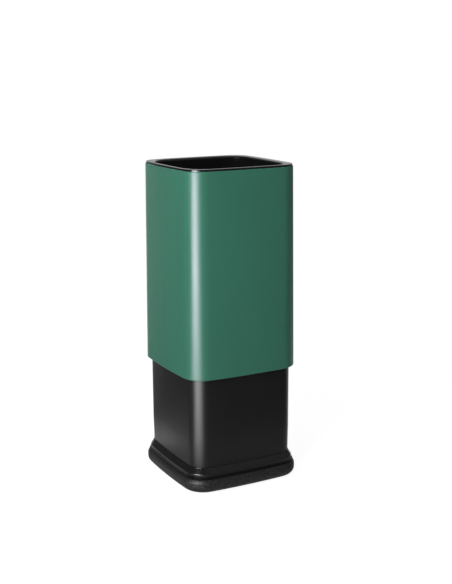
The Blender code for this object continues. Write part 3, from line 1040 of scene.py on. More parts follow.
@dataclass(frozen=True)
class GrainedBlack(Finish):
    """Black with a pebbled grain on the flange, a smoother skin above it, and painted shade that dims the
    shine in the groove between.
    """

    slot: Slot = Slot.BLACK_BASE
    colour: Colour = (0.0060, 0.0060, 0.0060)
    roughness: float = 0.46
    stray: Span = (0.06, 0.06)
    stray_span: Span = (0.2, 0.7)
    groove: float = 0.0
    seam: float = 0.0006
    flow: Noise = Noise((0.05, 0.05, 0.03), 3.0)
    flow_depth: float = 0.00008
    pebble: float = 0.0013
    crumbs: Noise = Noise(0.00078, 2.0)
    crumb_share: float = 0.4
    grain_depth: float = 0.00004
    skin_gloss: float = 0.21
    skin_levelling: float = 0.85
    chalk_tone: float = 1.8
    crest_span: Span = (0.25, 0.6)
    crest_share: float = 0.35
    crest_tone: float = 2.52
    mottle: Noise = Noise(0.0035, 2.0)
    mottle_span: Span = (0.35, 0.65)
    mottle_shine: Span = (0.28, 0.54)
    # Painted shade in the groove: how far it reaches below and above, how slowly it climbs the lip, and how
    # dim the shine gets there
    groove_shade_reach: Span = (0.0008, 0.0014)
    groove_shade_climb: float = 0.33
    groove_shade_shine: float = 0.14
    dust: Dust = Dust(
        colour=(0.16, 0.155, 0.15),
        patches=Noise(0.002, 3.0),
        patch_span=(0.4, 0.7),
        thinnest=0.1,
        tilt=0.55,
        share=0.03,
    )

    def dress(self, writer: ShaderWriter) -> None:
        """Writes the finish's own nodes.

        Args:
            writer: The material's writer.
        """
        flow = writer.noise(self.flow)
        height = writer.axis("Z")
        smooth = writer.ranged(height, (self.groove - self.seam, self.groove + self.seam))
        pebbles = Term(writer, writer.cells(self.pebble, "Distance"))
        grain = pebbles * (1.0 - self.crumb_share) + writer.noise(self.crumbs) * self.crumb_share
        grain = grain * (1.0 - smooth * self.skin_levelling)
        crests = writer.ranged(grain, self.crest_span, (0.0, self.crest_share))
        tone = writer.mixed(1.0 - smooth, self.toned(writer, flow), shaded(self.colour, self.chalk_tone))
        tone = writer.mixed(crests, tone, shaded(self.colour, self.crest_tone))
        dust = self.dust.settle(writer)
        tone = writer.mixed(dust, tone, self.dust.colour)
        gloss = self.glossed(writer, grain) - smooth * self.skin_gloss + dust
        shine = self.shine(writer, height - self.groove, smooth)
        relief = writer.raised(grain, self.grain_depth, writer.raised(flow, self.flow_depth))
        writer.put(Base_Color=tone, Roughness=gloss, Specular_IOR_Level=shine, Normal=relief)

    def shine(self, writer: ShaderWriter, rise: Term, smooth: Term) -> Term:
        """How strongly the surface shines: even on the skin, mottled on the grain, and dimmed as painted
        shade in the groove and on the foot of the lip above it.

        Args:
            writer: The material's writer.
            rise: The height above the groove.
            smooth: 1 on the skin, 0 on the grain.

        Returns:
            The specular level.
        """
        # Painted shade: the shine is at its least in the groove and rises again up the lip
        away = writer.math("MAXIMUM", rise * self.groove_shade_climb, rise * -1.0)
        unshaded = writer.ranged(away, self.groove_shade_reach, (self.groove_shade_shine, 1.0))
        mottled = writer.ranged(writer.noise(self.mottle), self.mottle_span, self.mottle_shine)
        return writer.lerp(smooth, mottled, self.specular) * unshaded


@dataclass(frozen=True)
class ZincPlate(Finish):
    """Zinc-plated steel: a bright skin with cloudy passivation and fine drawn lines."""

    slot: Slot = Slot.ZINC_PLATED_STEEL
    colour: Colour = (0.56, 0.57, 0.58)
    roughness: float = 0.32
    stray: Span = (0.08, 0.10)
    dark_tone: float = 0.86
    cloud: Noise = Noise(0.0025, 3.0)
    cloud_colour: Colour = (0.66, 0.64, 0.58)
    lines: Noise = Noise((0.0012, 0.0012, 0.00012), 2.0)
    line_depth: float = 0.000006

    def dress(self, writer: ShaderWriter) -> None:
        """Writes the finish's own nodes.

        Args:
            writer: The material's writer.
        """
        dark = shaded(self.colour, self.dark_tone)
        tone = writer.mixed(writer.noise(self.cloud), dark, self.cloud_colour)
        lines = writer.noise(self.lines)
        relief = writer.raised(lines, self.line_depth)
        writer.put(Base_Color=tone, Roughness=self.glossed(writer, lines), Metallic=1.0, Normal=relief)


@dataclass(frozen=True)
class GalvanisedSheet(Finish):
    """Galvanised sheet: zinc spangle in patches of different grey, with dull smears."""

    slot: Slot = Slot.GALVANISED_PLATE
    colour: Colour = (0.50, 0.51, 0.53)
    roughness: float = 0.42
    tones: Span = (0.72, 1.2)
    stray: Span = (0.12, 0.14)
    stray_span: Span = (0.2, 0.8)
    spangle: float = 0.008
    feather: Noise = Noise((0.0008, 0.003, 0.003), 3.0)
    feather_tone: float = 0.3
    feather_relief: float = 0.5
    smear: Noise = Noise(0.02, 4.0)
    smear_gloss: float = 0.4
    relief_depth: float = 0.00001

    def dress(self, writer: ShaderWriter) -> None:
        """Writes the finish's own nodes.

        Args:
            writer: The material's writer.
        """
        patch = writer.add("ShaderNodeSeparateColor", {0: writer.cells(self.spangle, "Color")})
        grey = Term(writer, patch.outputs[0])
        feather = writer.noise(self.feather)
        tone = self.toned(writer, writer.lerp(self.feather_tone, grey, feather))
        gloss = self.glossed(writer, writer.lerp(self.smear_gloss, grey, writer.noise(self.smear)))
        relief = writer.raised(writer.lerp(self.feather_relief, grey, feather), self.relief_depth)
        writer.put(Base_Color=tone, Roughness=gloss, Metallic=1.0, Normal=relief)


@dataclass(frozen=True)
class Rubber(Finish):
    """Dark grey rubber with a dull bloom and a scuffed, dusty tread."""

    slot: Slot = Slot.GREY_RUBBER
    colour: Colour = (0.045, 0.045, 0.047)
    roughness: float = 0.72
    specular: float = 0.3
    tones: Span = (0.75, 1.35)
    stray: Span = (0.07, 0.07)
    bloom: Noise = Noise(0.004, 4.0, 0.6)
    scuff: Noise = Noise(0.0012, 3.0)
    scuff_tilt: Span = (-1.0, -0.6)
    scuff_share: float = 0.5
    scuff_colour: Colour = (0.20, 0.19, 0.18)
    nap: Noise = Noise(0.0006, 3.0)
    nap_depth: float = 0.00003

    def dress(self, writer: ShaderWriter) -> None:
        """Writes the finish's own nodes.

        Args:
            writer: The material's writer.
        """
        bloom = writer.noise(self.bloom)
        tread = writer.ranged(writer.facing_up(), self.scuff_tilt, (self.scuff_share, 0.0))
        scuff = tread * writer.noise(self.scuff)
        tone = writer.mixed(scuff, self.toned(writer, bloom), self.scuff_colour)
        nap = writer.raised(writer.noise(self.nap), self.nap_depth)
        writer.put(Base_Color=tone, Roughness=self.glossed(writer, bloom), Normal=nap)


@dataclass
class Shaper:
    """The three shape trees, and the plan that every wall shares."""

    sweep: PlanSweep
    turned: TurnedSet
    ribs: GuideRibs
    plan: PlanFamily = BODY_PLAN
    face_radius: float = 0.900

    def wall(self, section: Section, material: bpy.types.Material) -> bpy.types.Mesh:
        """A wall that carries a section round the plan.

        Args:
            section: The wall's section.
            material: Its finish.

        Returns:
            The wall's mesh.
        """
        values = {
            "Closed": int(section.closed),
            "Face Offset": self.face_radius - self.plan.half,
            "Corner Steps": CORNER_STEPS,
            "Face Steps": FACE_STEPS,
        }
        return closed_up(self.sweep.grow(section.name + "_wall", section, material, values))

    def ring_of(
        self,
        section: Section,
        material: bpy.types.Material,
        reach: float,
        height: float,
        spin: float = 0.0,
        seed: int = 0,
    ) -> bpy.types.Mesh:
        """Four turned pieces, one on each diagonal.

        Args:
            section: The piece's section, from its axis round to its axis.
            material: Its finish.
            reach: How far each stands from the bin's axis.
            height: Where the section's zero height comes.
            spin: The most that each is turned about its own axis.
            seed: What that turn is drawn from.

        Returns:
            One mesh of all four.
        """
        values = {
            "Steps": TURN_STEPS,
            "Count": CORNERS,
            "Reach": reach,
            "First Angle": QUARTER_TURN / 2,
            "Height": height,
            "Spin": spin,
            "Seed": seed,
        }
        return closed_up(self.turned.grow(section.name + "_set", section, material, values))


@dataclass(frozen=True)
class Screw:
    """A screw that stands head down, with a hexagon socket in its head and perhaps a flange over it."""

    shank: float
    head: float
    head_foot: float
    head_round: float
    socket: float
    socket_top: float
    flange: float = 0.0
    flange_foot: float = 0.0
    flange_round: float = 0.0003
    edge_round: float = 0.0002
    fine_round: float = 0.0001
    socket_flare: float = 1.15
    socket_chamfer: float = 0.0002
    socket_cone: float = 0.0004

    def section(self, name: str, length: float) -> Section:
        """The screw's section, from its tip round to its socket.

        Args:
            name: The section's name.
            length: How far the shank rises above what bears.

        Returns:
            The section, whose zero height is where the screw bears.
        """
        bends = [
            Bend(0.0, length, family=AXIS),
            Bend(self.shank / 2, length, self.fine_round),
            Bend(self.shank, length - self.shank, self.edge_round),
            Bend(self.shank, 0.0, self.edge_round),
        ]
        if self.flange:
            bends += [
                Bend(self.flange, 0.0, self.edge_round),
                Bend(self.flange, self.flange_foot, self.flange_round),
            ]
        bends += [
            Bend(self.head, self.flange_foot, self.edge_round),
            Bend(self.head, self.head_foot, self.head_round),
            Bend(self.socket * self.socket_flare, self.head_foot, self.fine_round),
            Bend(self.socket, self.head_foot + self.socket_chamfer, hexagon=1.0),
            Bend(self.socket, self.socket_top, hexagon=1.0),
            Bend(0.0, self.socket_top + self.socket_cone, family=AXIS),
        ]
        return Section(name, bends)


@dataclass
class SleeveAssembly:
    """The lifted pieces: the green sleeve, its black rim and the screws that hold the rim on."""

    shaper: Shaper
    wall: float = 0.0018
    flare: float = 0.0028
    foot_round: float = 0.0012
    edge_round: float = 0.0004
    fine_round: float = 0.0003
    turned_in: float = 0.002
    opening: PlanFamily = PlanFamily(0.0787, 0.035194)
    rim_outer_round: float = 0.0012
    rim_inner_round: float = 0.0030
    rim_thickness: float = 0.0028
    rim_crown: PlanFamily = PlanFamily(0.0815, 0.0305)
    rim_crown_round: float = 0.008
    rim_shed: float = 0.0003
    rim_fall: float = 0.0012
    skirt_wall: float = 0.002
    skirt_outer: float = 0.0781
    skirt_round: float = 0.0006
    guide_half: float = 0.0831
    rib_width: float = 0.004
    rib_spacing: float = 0.080
    rib_chamfer: float = 0.0004
    rib_rise: float = 0.0128
    rib_lead: float = 0.003
    rib_sag: float = 0.0009
    screw: Screw = Screw(
        shank=0.0015,
        head=0.0026,
        head_foot=-0.0026,
        head_round=0.0005,
        socket=0.0013,
        socket_top=-0.0016,
        flange=0.0042,
        flange_foot=-0.0008,
    )
    screw_reach: float = 0.100241
    screw_seed: int = 11
    fit_gap: float = 0.0003

    def __post_init__(self) -> None:
        """Reads where the solids stand."""
        low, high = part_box("outer_sleeve")
        self.foot = low.z
        self.top = high.z
        self.outer_foot = high.x
        self.under = self.top - self.turned_in
        rim_low, rim_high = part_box("top_rim")
        self.rim_half = rim_high.x
        self.rim_top = rim_high.z
        self.skirt_bottom = rim_low.z
        self.screw_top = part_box("rim_screw_1")[1].z

    def inside(self, height: float) -> float:
        """The half width of the flared wall's inside at a height."""
        return self.outer_foot - self.wall - self.flare * (height - self.foot) / (self.top - self.foot)

    def build(self, green: Finish, black: Finish, zinc: Finish) -> None:
        """Makes and dresses the lifted pieces.

        Args:
            green: The sleeve's finish.
            black: The rim's finish.
            zinc: The screws' finish.
        """
        self.build_sleeve(green)
        self.build_rim(black)
        self.build_screws(zinc)

    def build_sleeve(self, finish: Finish) -> None:
        """Makes the sleeve: a flared shell whose top edge turns in, with guide ribs inside.

        Args:
            finish: The sleeve's finish.
        """
        material = finish.material()
        edge = self.opening.half
        shell = Section(
            "outer_sleeve",
            [
                Bend(self.outer_foot, self.foot, self.foot_round),
                Bend(self.outer_foot - self.flare, self.top, self.edge_round),
                Bend(edge, self.top, self.fine_round, self.opening),
                Bend(edge, self.under, self.fine_round, self.opening),
                Bend(self.inside(self.under), self.under, self.edge_round),
                Bend(self.inside(self.foot), self.foot, self.edge_round),
            ],
            closed=True,
        )
        mesh = joined("outer_sleeve", [self.shaper.wall(shell, material), self.ribs(material)])
        hand_over("sleeve_shell", mesh, Body.SLEEVE, finish.slot, ["outer_sleeve"])

    def ribs(self, material: bpy.types.Material) -> bpy.types.Mesh:
        """The guide ribs, let into the wall by half its thickness.

        Args:
            material: The sleeve's finish.

        Returns:
            One mesh of all the ribs.
        """
        half_width = self.rib_width / 2
        crest = half_width - self.rib_chamfer
        section = Section(
            "guide_rib",
            [Bend(1.0, -half_width), Bend(0.0, -crest), Bend(0.0, crest), Bend(1.0, half_width)],
        )
        bottom = self.foot + self.rib_rise
        top = self.under + self.turned_in / 2
        values = {
            "Guide Half": self.guide_half,
            "Wall Foot": self.inside(bottom) + self.wall / 2,
            "Wall Top": self.inside(self.under) + self.wall / 2,
            "Bottom": bottom,
            "Top": top,
            "Lead In": self.rib_lead,
            "Spacing": self.rib_spacing,
            "Sag": self.rib_sag,
        }
        return backed(self.shaper.ribs.grow("guide_ribs", section, material, values), top)

    def build_rim(self, finish: Finish) -> None:
        """Makes the rim: a round-edged ring with a crown, and a skirt that hangs inside the opening.

        Args:
            finish: The rim's finish.
        """
        inner = self.skirt_outer - self.skirt_wall
        rim_bottom = self.rim_top - self.rim_thickness
        section = Section(
            "top_rim",
            [
                Bend(self.rim_half, rim_bottom, self.fine_round),
                Bend(self.rim_half, self.rim_top - self.rim_shed, self.rim_outer_round),
                Bend(self.rim_crown.half, self.rim_top, self.rim_crown_round, self.rim_crown),
                Bend(inner, self.rim_top - self.rim_fall, self.rim_inner_round, self.opening),
                Bend(inner, self.skirt_bottom, self.skirt_round, self.opening),
                Bend(self.skirt_outer, self.skirt_bottom, self.skirt_round, self.opening),
                Bend(self.skirt_outer, rim_bottom, self.fine_round, self.opening),
            ],
            closed=True,
        )
        mesh = self.shaper.wall(section, finish.material())
        hand_over("rim_ring", mesh, Body.SLEEVE, finish.slot, ["top_rim"])

    def build_screws(self, finish: Finish) -> None:
        """Makes the rim's flanged screws, heads down, inside the sleeve's corners.

        Args:
            finish: The screws' finish.
        """
        bearing = self.under - self.fit_gap
        section = self.screw.section("rim_screw", self.screw_top - bearing)
        material = finish.material()
        mesh = self.shaper.ring_of(section, material, self.screw_reach, bearing, HEX_STEP, self.screw_seed)
        hand_over("rim_screws", mesh, Body.SLEEVE, finish.slot, numbered("rim_screw"))


@dataclass
class BucketAssembly:
    """The bucket that stands in the base, with blind screw bosses on its floor."""

    shaper: Shaper
    wall: float = 0.0018
    floor: float = 0.0022
    tuck: float = 0.0008
    tuck_height: float = 0.040
    curl: float = 0.0004
    curl_height: float = 0.004
    curl_round: float = 0.050
    foot_round: float = 0.004
    bead_roll: float = 0.0013
    bead_height: float = 0.006
    bead_round: float = 0.0007
    flow_round: float = 0.006
    boss_radius: float = 0.0045
    boss_height: float = 0.007
    boss_reach: float = 0.045 * math.sqrt(2)
    boss_round: float = 0.0006
    boss_fillet: float = 0.0009
    boss_spread: float = 0.001

    def __post_init__(self) -> None:
        """Reads where the solids stand."""
        low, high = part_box("inner_bucket")
        self.bottom = low.z
        self.floor_top = self.bottom + self.floor
        self.top = high.z
        self.half = high.x - self.bead_roll
        self.collar_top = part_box("base_plinth")[1].z

    def build(self, finish: Finish) -> None:
        """Makes and dresses the bucket.

        Args:
            finish: The bucket's finish.
        """
        material = finish.material()
        waist_half = self.half - self.tuck
        foot_half = waist_half - self.curl
        inner, inner_waist, inner_foot = (half - self.wall for half in (self.half, waist_half, foot_half))
        curl_top, curl_foot = self.collar_top + self.curl_height, self.collar_top - self.curl_height
        tuck_top = self.collar_top + self.tuck_height
        bead_half, bead_bottom = self.half + self.bead_roll, self.top - self.bead_height
        section = Section(
            "inner_bucket",
            [
                Bend(0.0, self.bottom, family=AXIS),
                Bend(foot_half, self.bottom, self.foot_round),
                Bend(foot_half, curl_foot, self.flow_round),
                Bend(waist_half, curl_top, self.curl_round),
                Bend(self.half, tuck_top, self.flow_round),
                Bend(self.half, bead_bottom - self.bead_roll, self.bead_round),
                Bend(bead_half, bead_bottom, self.bead_round),
                Bend(bead_half, self.top, self.bead_round),
                Bend(inner, self.top, self.bead_round),
                Bend(inner, tuck_top, self.flow_round),
                Bend(inner_waist, curl_top, self.curl_round),
                Bend(inner_foot, curl_foot, self.flow_round),
                Bend(inner_foot, self.floor_top, self.foot_round - self.wall),
                Bend(0.0, self.floor_top, family=AXIS),
            ],
        )
        mesh = joined("inner_bucket", [self.shaper.wall(section, material), self.bosses(material)])
        hand_over("bucket_shell", mesh, Body.BASE, finish.slot, ["inner_bucket"])

    def bosses(self, material: bpy.types.Material) -> bpy.types.Mesh:
        """The screw bosses, let into the floor by half its thickness.

        Args:
            material: The bucket's finish.

        Returns:
            One mesh of all four.
        """
        sunk = -self.floor / 2
        spread = self.boss_radius + self.boss_spread
        section = Section(
            "floor_boss",
            [
                Bend(0.0, self.boss_height, family=AXIS),
                Bend(self.boss_radius, self.boss_height, self.boss_round),
                Bend(self.boss_radius, 0.0, self.boss_fillet),
                Bend(spread, 0.0),
                Bend(spread, sunk),
                Bend(0.0, sunk, family=AXIS),
            ],
        )
        return self.shaper.ring_of(section, material, self.boss_reach, self.floor_top)


@dataclass
class BaseAssembly:
    """The stepped base with its ballast plate, the screws up into the bucket, and its feet."""

    shaper: Shaper
    flange_height: float = 0.0223
    flange_wall: float = 0.0105
    flange_slope: float = 0.0036
    flange_top_round: float = 0.006
    flange_under_round: float = 0.0092
    lip_height: float = 0.0048
    lip_half: float = 0.0862
    lip_lean: float = 0.0001
    lip_round: float = 0.0024
    groove_half: float = 0.0884
    groove_drop: float = 0.0019
    groove_gap: float = 0.0020
    groove_depth: float = 0.0018
    collar_half: float = 0.0813
    collar_edge: float = 0.0004
    collar_lean: float = 0.00015
    collar_round: float = 0.00015
    collar_rise: float = 0.0022
    edge_round: float = 0.0004
    fine_round: float = 0.0003
    socket_half: float = 0.0810
    socket_depth: float = 0.0179
    web: float = 0.0025
    foot_radius: float = 0.006
    foot_stem: float = 0.0022
    foot_round: float = 0.0008
    foot_soft_round: float = 0.0006
    foot_dish: float = 0.0004
    foot_dish_shares: Span = (0.62, 0.5)
    foot_seat: float = 0.0016
    foot_boss_radius: float = 0.0081
    foot_boss_rise: float = 0.0004
    foot_reach: float = 0.067345 * math.sqrt(2)
    screw: Screw = Screw(
        shank=0.00175,
        head=0.0035,
        head_foot=-0.0024,
        head_round=0.0012,
        socket=0.00175,
        socket_top=-0.0012,
    )
    screw_reach: float = 0.045 * math.sqrt(2)
    screw_seed: int = 5
    fit_gap: float = 0.0003

    def __post_init__(self) -> None:
        """Reads where the solids stand."""
        low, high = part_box("base_plinth")
        self.bottom = low.z
        self.top = high.z
        self.flange_half = high.x
        self.seat = self.bottom + self.flange_height
        self.groove = self.seat - self.groove_drop
        self.web_top = self.top - self.socket_depth
        self.web_bottom = self.web_top - self.web
        self.boss_foot = self.bottom + self.foot_boss_rise
        self.ballast_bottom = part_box("ballast_plate")[0].z
        self.screw_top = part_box("base_screw_1")[1].z
        self.foot_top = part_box("foot_1")[1].z

    def build(self, black: Finish, galvanised: Finish, zinc: Finish, rubber: Finish) -> None:
        """Makes and dresses the base's pieces.

        Args:
            black: The base's finish.
            galvanised: The ballast plate's finish.
            zinc: The screws' finish.
            rubber: The feet's finish.
        """
        self.build_plinth(black)
        self.dress_ballast(galvanised)
        self.build_screws(zinc)
        self.build_feet(rubber)

    def build_plinth(self, finish: Finish) -> None:
        """Makes the base: a collar that slopes to a lip, a groove, a bullnose flange and a web.

        Args:
            finish: The base's finish.
        """
        material = finish.material()
        collar_top = self.top + self.collar_rise
        flange_top = self.groove - self.groove_gap / 2
        recess = self.flange_half - self.flange_wall
        section = Section(
            "base_plinth",
            [
                Bend(0.0, self.web_top, family=AXIS),
                Bend(self.socket_half, self.web_top, self.fine_round),
                Bend(self.socket_half, collar_top, self.collar_round),
                Bend(self.collar_half, collar_top, self.collar_round),
                Bend(self.collar_half + self.collar_lean, collar_top - self.collar_edge, self.collar_round),
                Bend(self.lip_half - self.lip_lean, self.seat + self.lip_height, self.lip_round),
                Bend(self.lip_half, self.seat, self.fine_round),
                Bend(self.groove_half, self.groove + self.groove_gap / 2, self.fine_round),
                Bend(self.groove_half - self.groove_depth, self.groove, self.fine_round),
                Bend(self.groove_half, flange_top, self.fine_round),
                Bend(self.flange_half, flange_top - self.flange_slope, self.flange_top_round),
                Bend(self.flange_half, self.bottom, self.flange_under_round),
                Bend(recess, self.bottom, self.edge_round),
                Bend(recess, self.web_bottom, self.edge_round),
                Bend(0.0, self.web_bottom, family=AXIS),
            ],
        )
        mesh = joined("base_plinth", [self.shaper.wall(section, material), self.foot_bosses(material)])
        hand_over("plinth_shell", mesh, Body.BASE, finish.slot, ["base_plinth"])

    def foot_bosses(self, material: bpy.types.Material) -> bpy.types.Mesh:
        """The bosses that hold the feet, let into the web by half its thickness.

        Args:
            material: The base's finish.

        Returns:
            One mesh of all four.
        """
        seat_radius = self.foot_radius + self.fit_gap
        seat_top = self.boss_foot + self.foot_seat
        root = self.web_bottom + self.web / 2
        section = Section(
            "foot_boss",
            [
                Bend(0.0, root, family=AXIS),
                Bend(self.foot_boss_radius, root, self.fine_round),
                Bend(self.foot_boss_radius, self.boss_foot, self.fine_round),
                Bend(seat_radius, self.boss_foot, self.fine_round),
                Bend(seat_radius, seat_top, self.fine_round),
                Bend(0.0, seat_top, family=AXIS),
            ],
        )
        return self.shaper.ring_of(section, material, self.foot_reach, 0.0)

    def dress_ballast(self, finish: Finish) -> None:
        """Gives the ballast plate's own solid its finish.

        Args:
            finish: The plate's finish.
        """
        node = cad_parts["ballast_plate"]
        node.data.materials.clear()
        node.data.materials.append(finish.material())
        LOG.info("ballast_plate: kept, in %s", finish.slot.value)

    def build_screws(self, finish: Finish) -> None:
        """Makes the pan-head screws under the ballast plate, heads down.

        Args:
            finish: The screws' finish.
        """
        bearing = self.ballast_bottom - self.fit_gap
        section = self.screw.section("base_screw", self.screw_top - bearing)
        material = finish.material()
        mesh = self.shaper.ring_of(section, material, self.screw_reach, bearing, HEX_STEP, self.screw_seed)
        hand_over("base_screws", mesh, Body.BASE, finish.slot, numbered("base_screw"))

    def build_feet(self, finish: Finish) -> None:
        """Makes the push-in rubber feet, each a dished pad with a stem.

        Args:
            finish: The feet's finish.
        """
        pad_top = self.boss_foot + self.foot_seat - self.fit_gap
        tread, dish = (self.foot_radius * share for share in self.foot_dish_shares)
        section = Section(
            "rubber_foot",
            [
                Bend(0.0, self.foot_top, family=AXIS),
                Bend(self.foot_stem, self.foot_top, self.foot_soft_round),
                Bend(self.foot_stem, pad_top, self.fine_round),
                Bend(self.foot_radius, pad_top, self.fine_round),
                Bend(self.foot_radius, 0.0, self.foot_round),
                Bend(tread, 0.0, self.foot_soft_round),
                Bend(dish, self.foot_dish, self.foot_soft_round),
                Bend(0.0, self.foot_dish, family=AXIS),
            ],
        )
        mesh = self.shaper.ring_of(section, finish.material(), self.foot_reach, 0.0)
        hand_over("rubber_feet", mesh, Body.BASE, finish.slot, numbered("foot"))


@dataclass(frozen=True)
class PhotoCamera:
    """The camera: where it stands and how it looks, in pixels of the frame, degrees and metres."""

    focal: float = 1063.5
    frame_height: float = 584.0
    azimuth: float = 28.03
    pitch: float = 12.68
    roll: float = 0.30
    distance: float = 1.5284
    aside: float = 0.0101
    aim_height: float = 0.2660
    sensor: float = 36.0
    nearest: float = 0.05

    def place(self) -> None:
        """Makes the camera and gives it to the scene."""
        data = bpy.data.cameras.new("photo_camera")
        data.sensor_fit = "VERTICAL"
        data.sensor_height = self.sensor
        data.lens = self.sensor * self.focal / self.frame_height
        data.clip_start = self.nearest
        camera = in_scene("photo_camera", data)
        pitch, roll = math.radians(self.pitch), math.radians(self.roll)
        level = Vector((1.0, 0.0, 0.0))
        ahead = Vector((0.0, math.cos(pitch), -math.sin(pitch)))
        above = Vector((0.0, math.sin(pitch), math.cos(pitch)))
        right = level * math.cos(roll) - above * math.sin(roll)
        up = level * math.sin(roll) + above * math.cos(roll)
        spot = Vector((self.aside, 0.0, self.aim_height)) - ahead * self.distance
        axes = Matrix((right, up, -ahead)).transposed().to_4x4()
        turn = Matrix.Rotation(-math.radians(self.azimuth), 4, "Z")
        camera.matrix_world = turn @ Matrix.Translation(spot) @ axes
        bpy.context.scene.camera = camera


class Seen(Enum):
    """Which rays a lamp or the room is there for."""

    DIFFUSE = "diffuse"
    GLOSSY = "glossy"

    def limit(self, obj: bpy.types.Object) -> None:
        """Hides an object from the rays that it isn't there for.

        Args:
            obj: The object.
        """
        obj.visible_camera = False
        obj.visible_transmission = False
        obj.visible_diffuse = self is Seen.DIFFUSE
        obj.visible_glossy = self is Seen.GLOSSY


@dataclass(frozen=True)
class Lamp:
    """A soft rectangular lamp that looks at the bin, in degrees, metres and watts."""

    name: str
    azimuth: float
    elevation: float
    distance: float
    width: float
    height: float
    power: float
    seen: Seen
    aim: float

    def place(self) -> None:
        """Makes the lamp."""
        data = bpy.data.lights.new(self.name, "AREA")
        data.shape = "RECTANGLE"
        data.size = self.width
        data.size_y = self.height
        data.energy = self.power
        lamp = in_scene(self.name, data)
        away = direction(math.radians(self.azimuth), math.radians(self.elevation))
        lamp.location = Vector((0.0, 0.0, self.aim)) + away * self.distance
        lamp.rotation_euler = away.to_track_quat("Z", "Y").to_euler()
        self.seen.limit(lamp)


class StageWriter(ShaderWriter):
    """Writes the material of the floor or the room, which aren't part of the bin."""

    def __init__(self, name: str) -> None:
        """Starts a new material with no surface yet."""
        super().__init__(name)
        self.tree.nodes.remove(self.surface)

    def show(self, node: bpy.types.Node) -> None:
        """Makes a shader the material's surface."""
        self.feed(self.tree.nodes["Material Output"].inputs["Surface"], node.outputs[0])

    def glow(self, strength: Value) -> bpy.types.Node:
        """A white glow."""
        return self.add("ShaderNodeEmission", {"Color": WHITE, "Strength": strength})


class RoomWriter(StageWriter):
    """Writes the room's material, which changes from place to place."""

    def __init__(self, name: str) -> None:
        """Starts a new material, and finds where each of its places lies.

        Args:
            name: The material's name.
        """
        super().__init__(name)
        self.x, self.y, self.z = (self.axis(axis) for axis in "XYZ")
        self.radius = self.math("SQRT", self.x * self.x + self.y * self.y)

    def towards(self, azimuth: float) -> Term:
        """How far a place lies towards an azimuth in degrees: 1 on it, -1 straight across."""
        angle = math.radians(azimuth)
        return (self.x * math.cos(angle) + self.y * math.sin(angle)) / self.radius

    def sector(self, azimuth: float, spread: Span) -> Term:
        """1 within the smaller angle of an azimuth, in degrees, falling to 0 at the larger."""
        far, near = (math.cos(math.radians(angle)) for angle in spread)
        return self.ranged(self.towards(azimuth), (far, near))


def shows_white(writer: NodeWriter) -> Term:
    """Tells the rays that show the background, from the camera or by way of gloss or glass.

    Args:
        writer: The writer of the background's material.

    Returns:
        1 for those rays, 0 for others.
    """
    path = writer.add("ShaderNodeLightPath")
    kinds = ("Is Camera Ray", "Is Glossy Ray", "Is Transmission Ray")
    camera, glossy, transmission = (Term(writer, path.outputs[kind]) for kind in kinds)
    return writer.math("MINIMUM", camera + glossy + transmission, 1.0)


def stage_sheet(
    name: str,
    corners: Sequence[Sequence[float]],
    faces: Sequence[Sequence[int]],
    material: bpy.types.Material,
) -> bpy.types.Object:
    """A sheet that sets the stage.

    Args:
        name: The sheet's name.
        corners: Its corners.
        faces: The corners of each of its faces, by number.
        material: Its material.

    Returns:
        The sheet's object.
    """
    mesh = bpy.data.meshes.new(name)
    mesh.from_pydata(corners, [], faces)
    mesh.materials.append(material)
    sheet = in_scene(name, mesh)
    return sheet


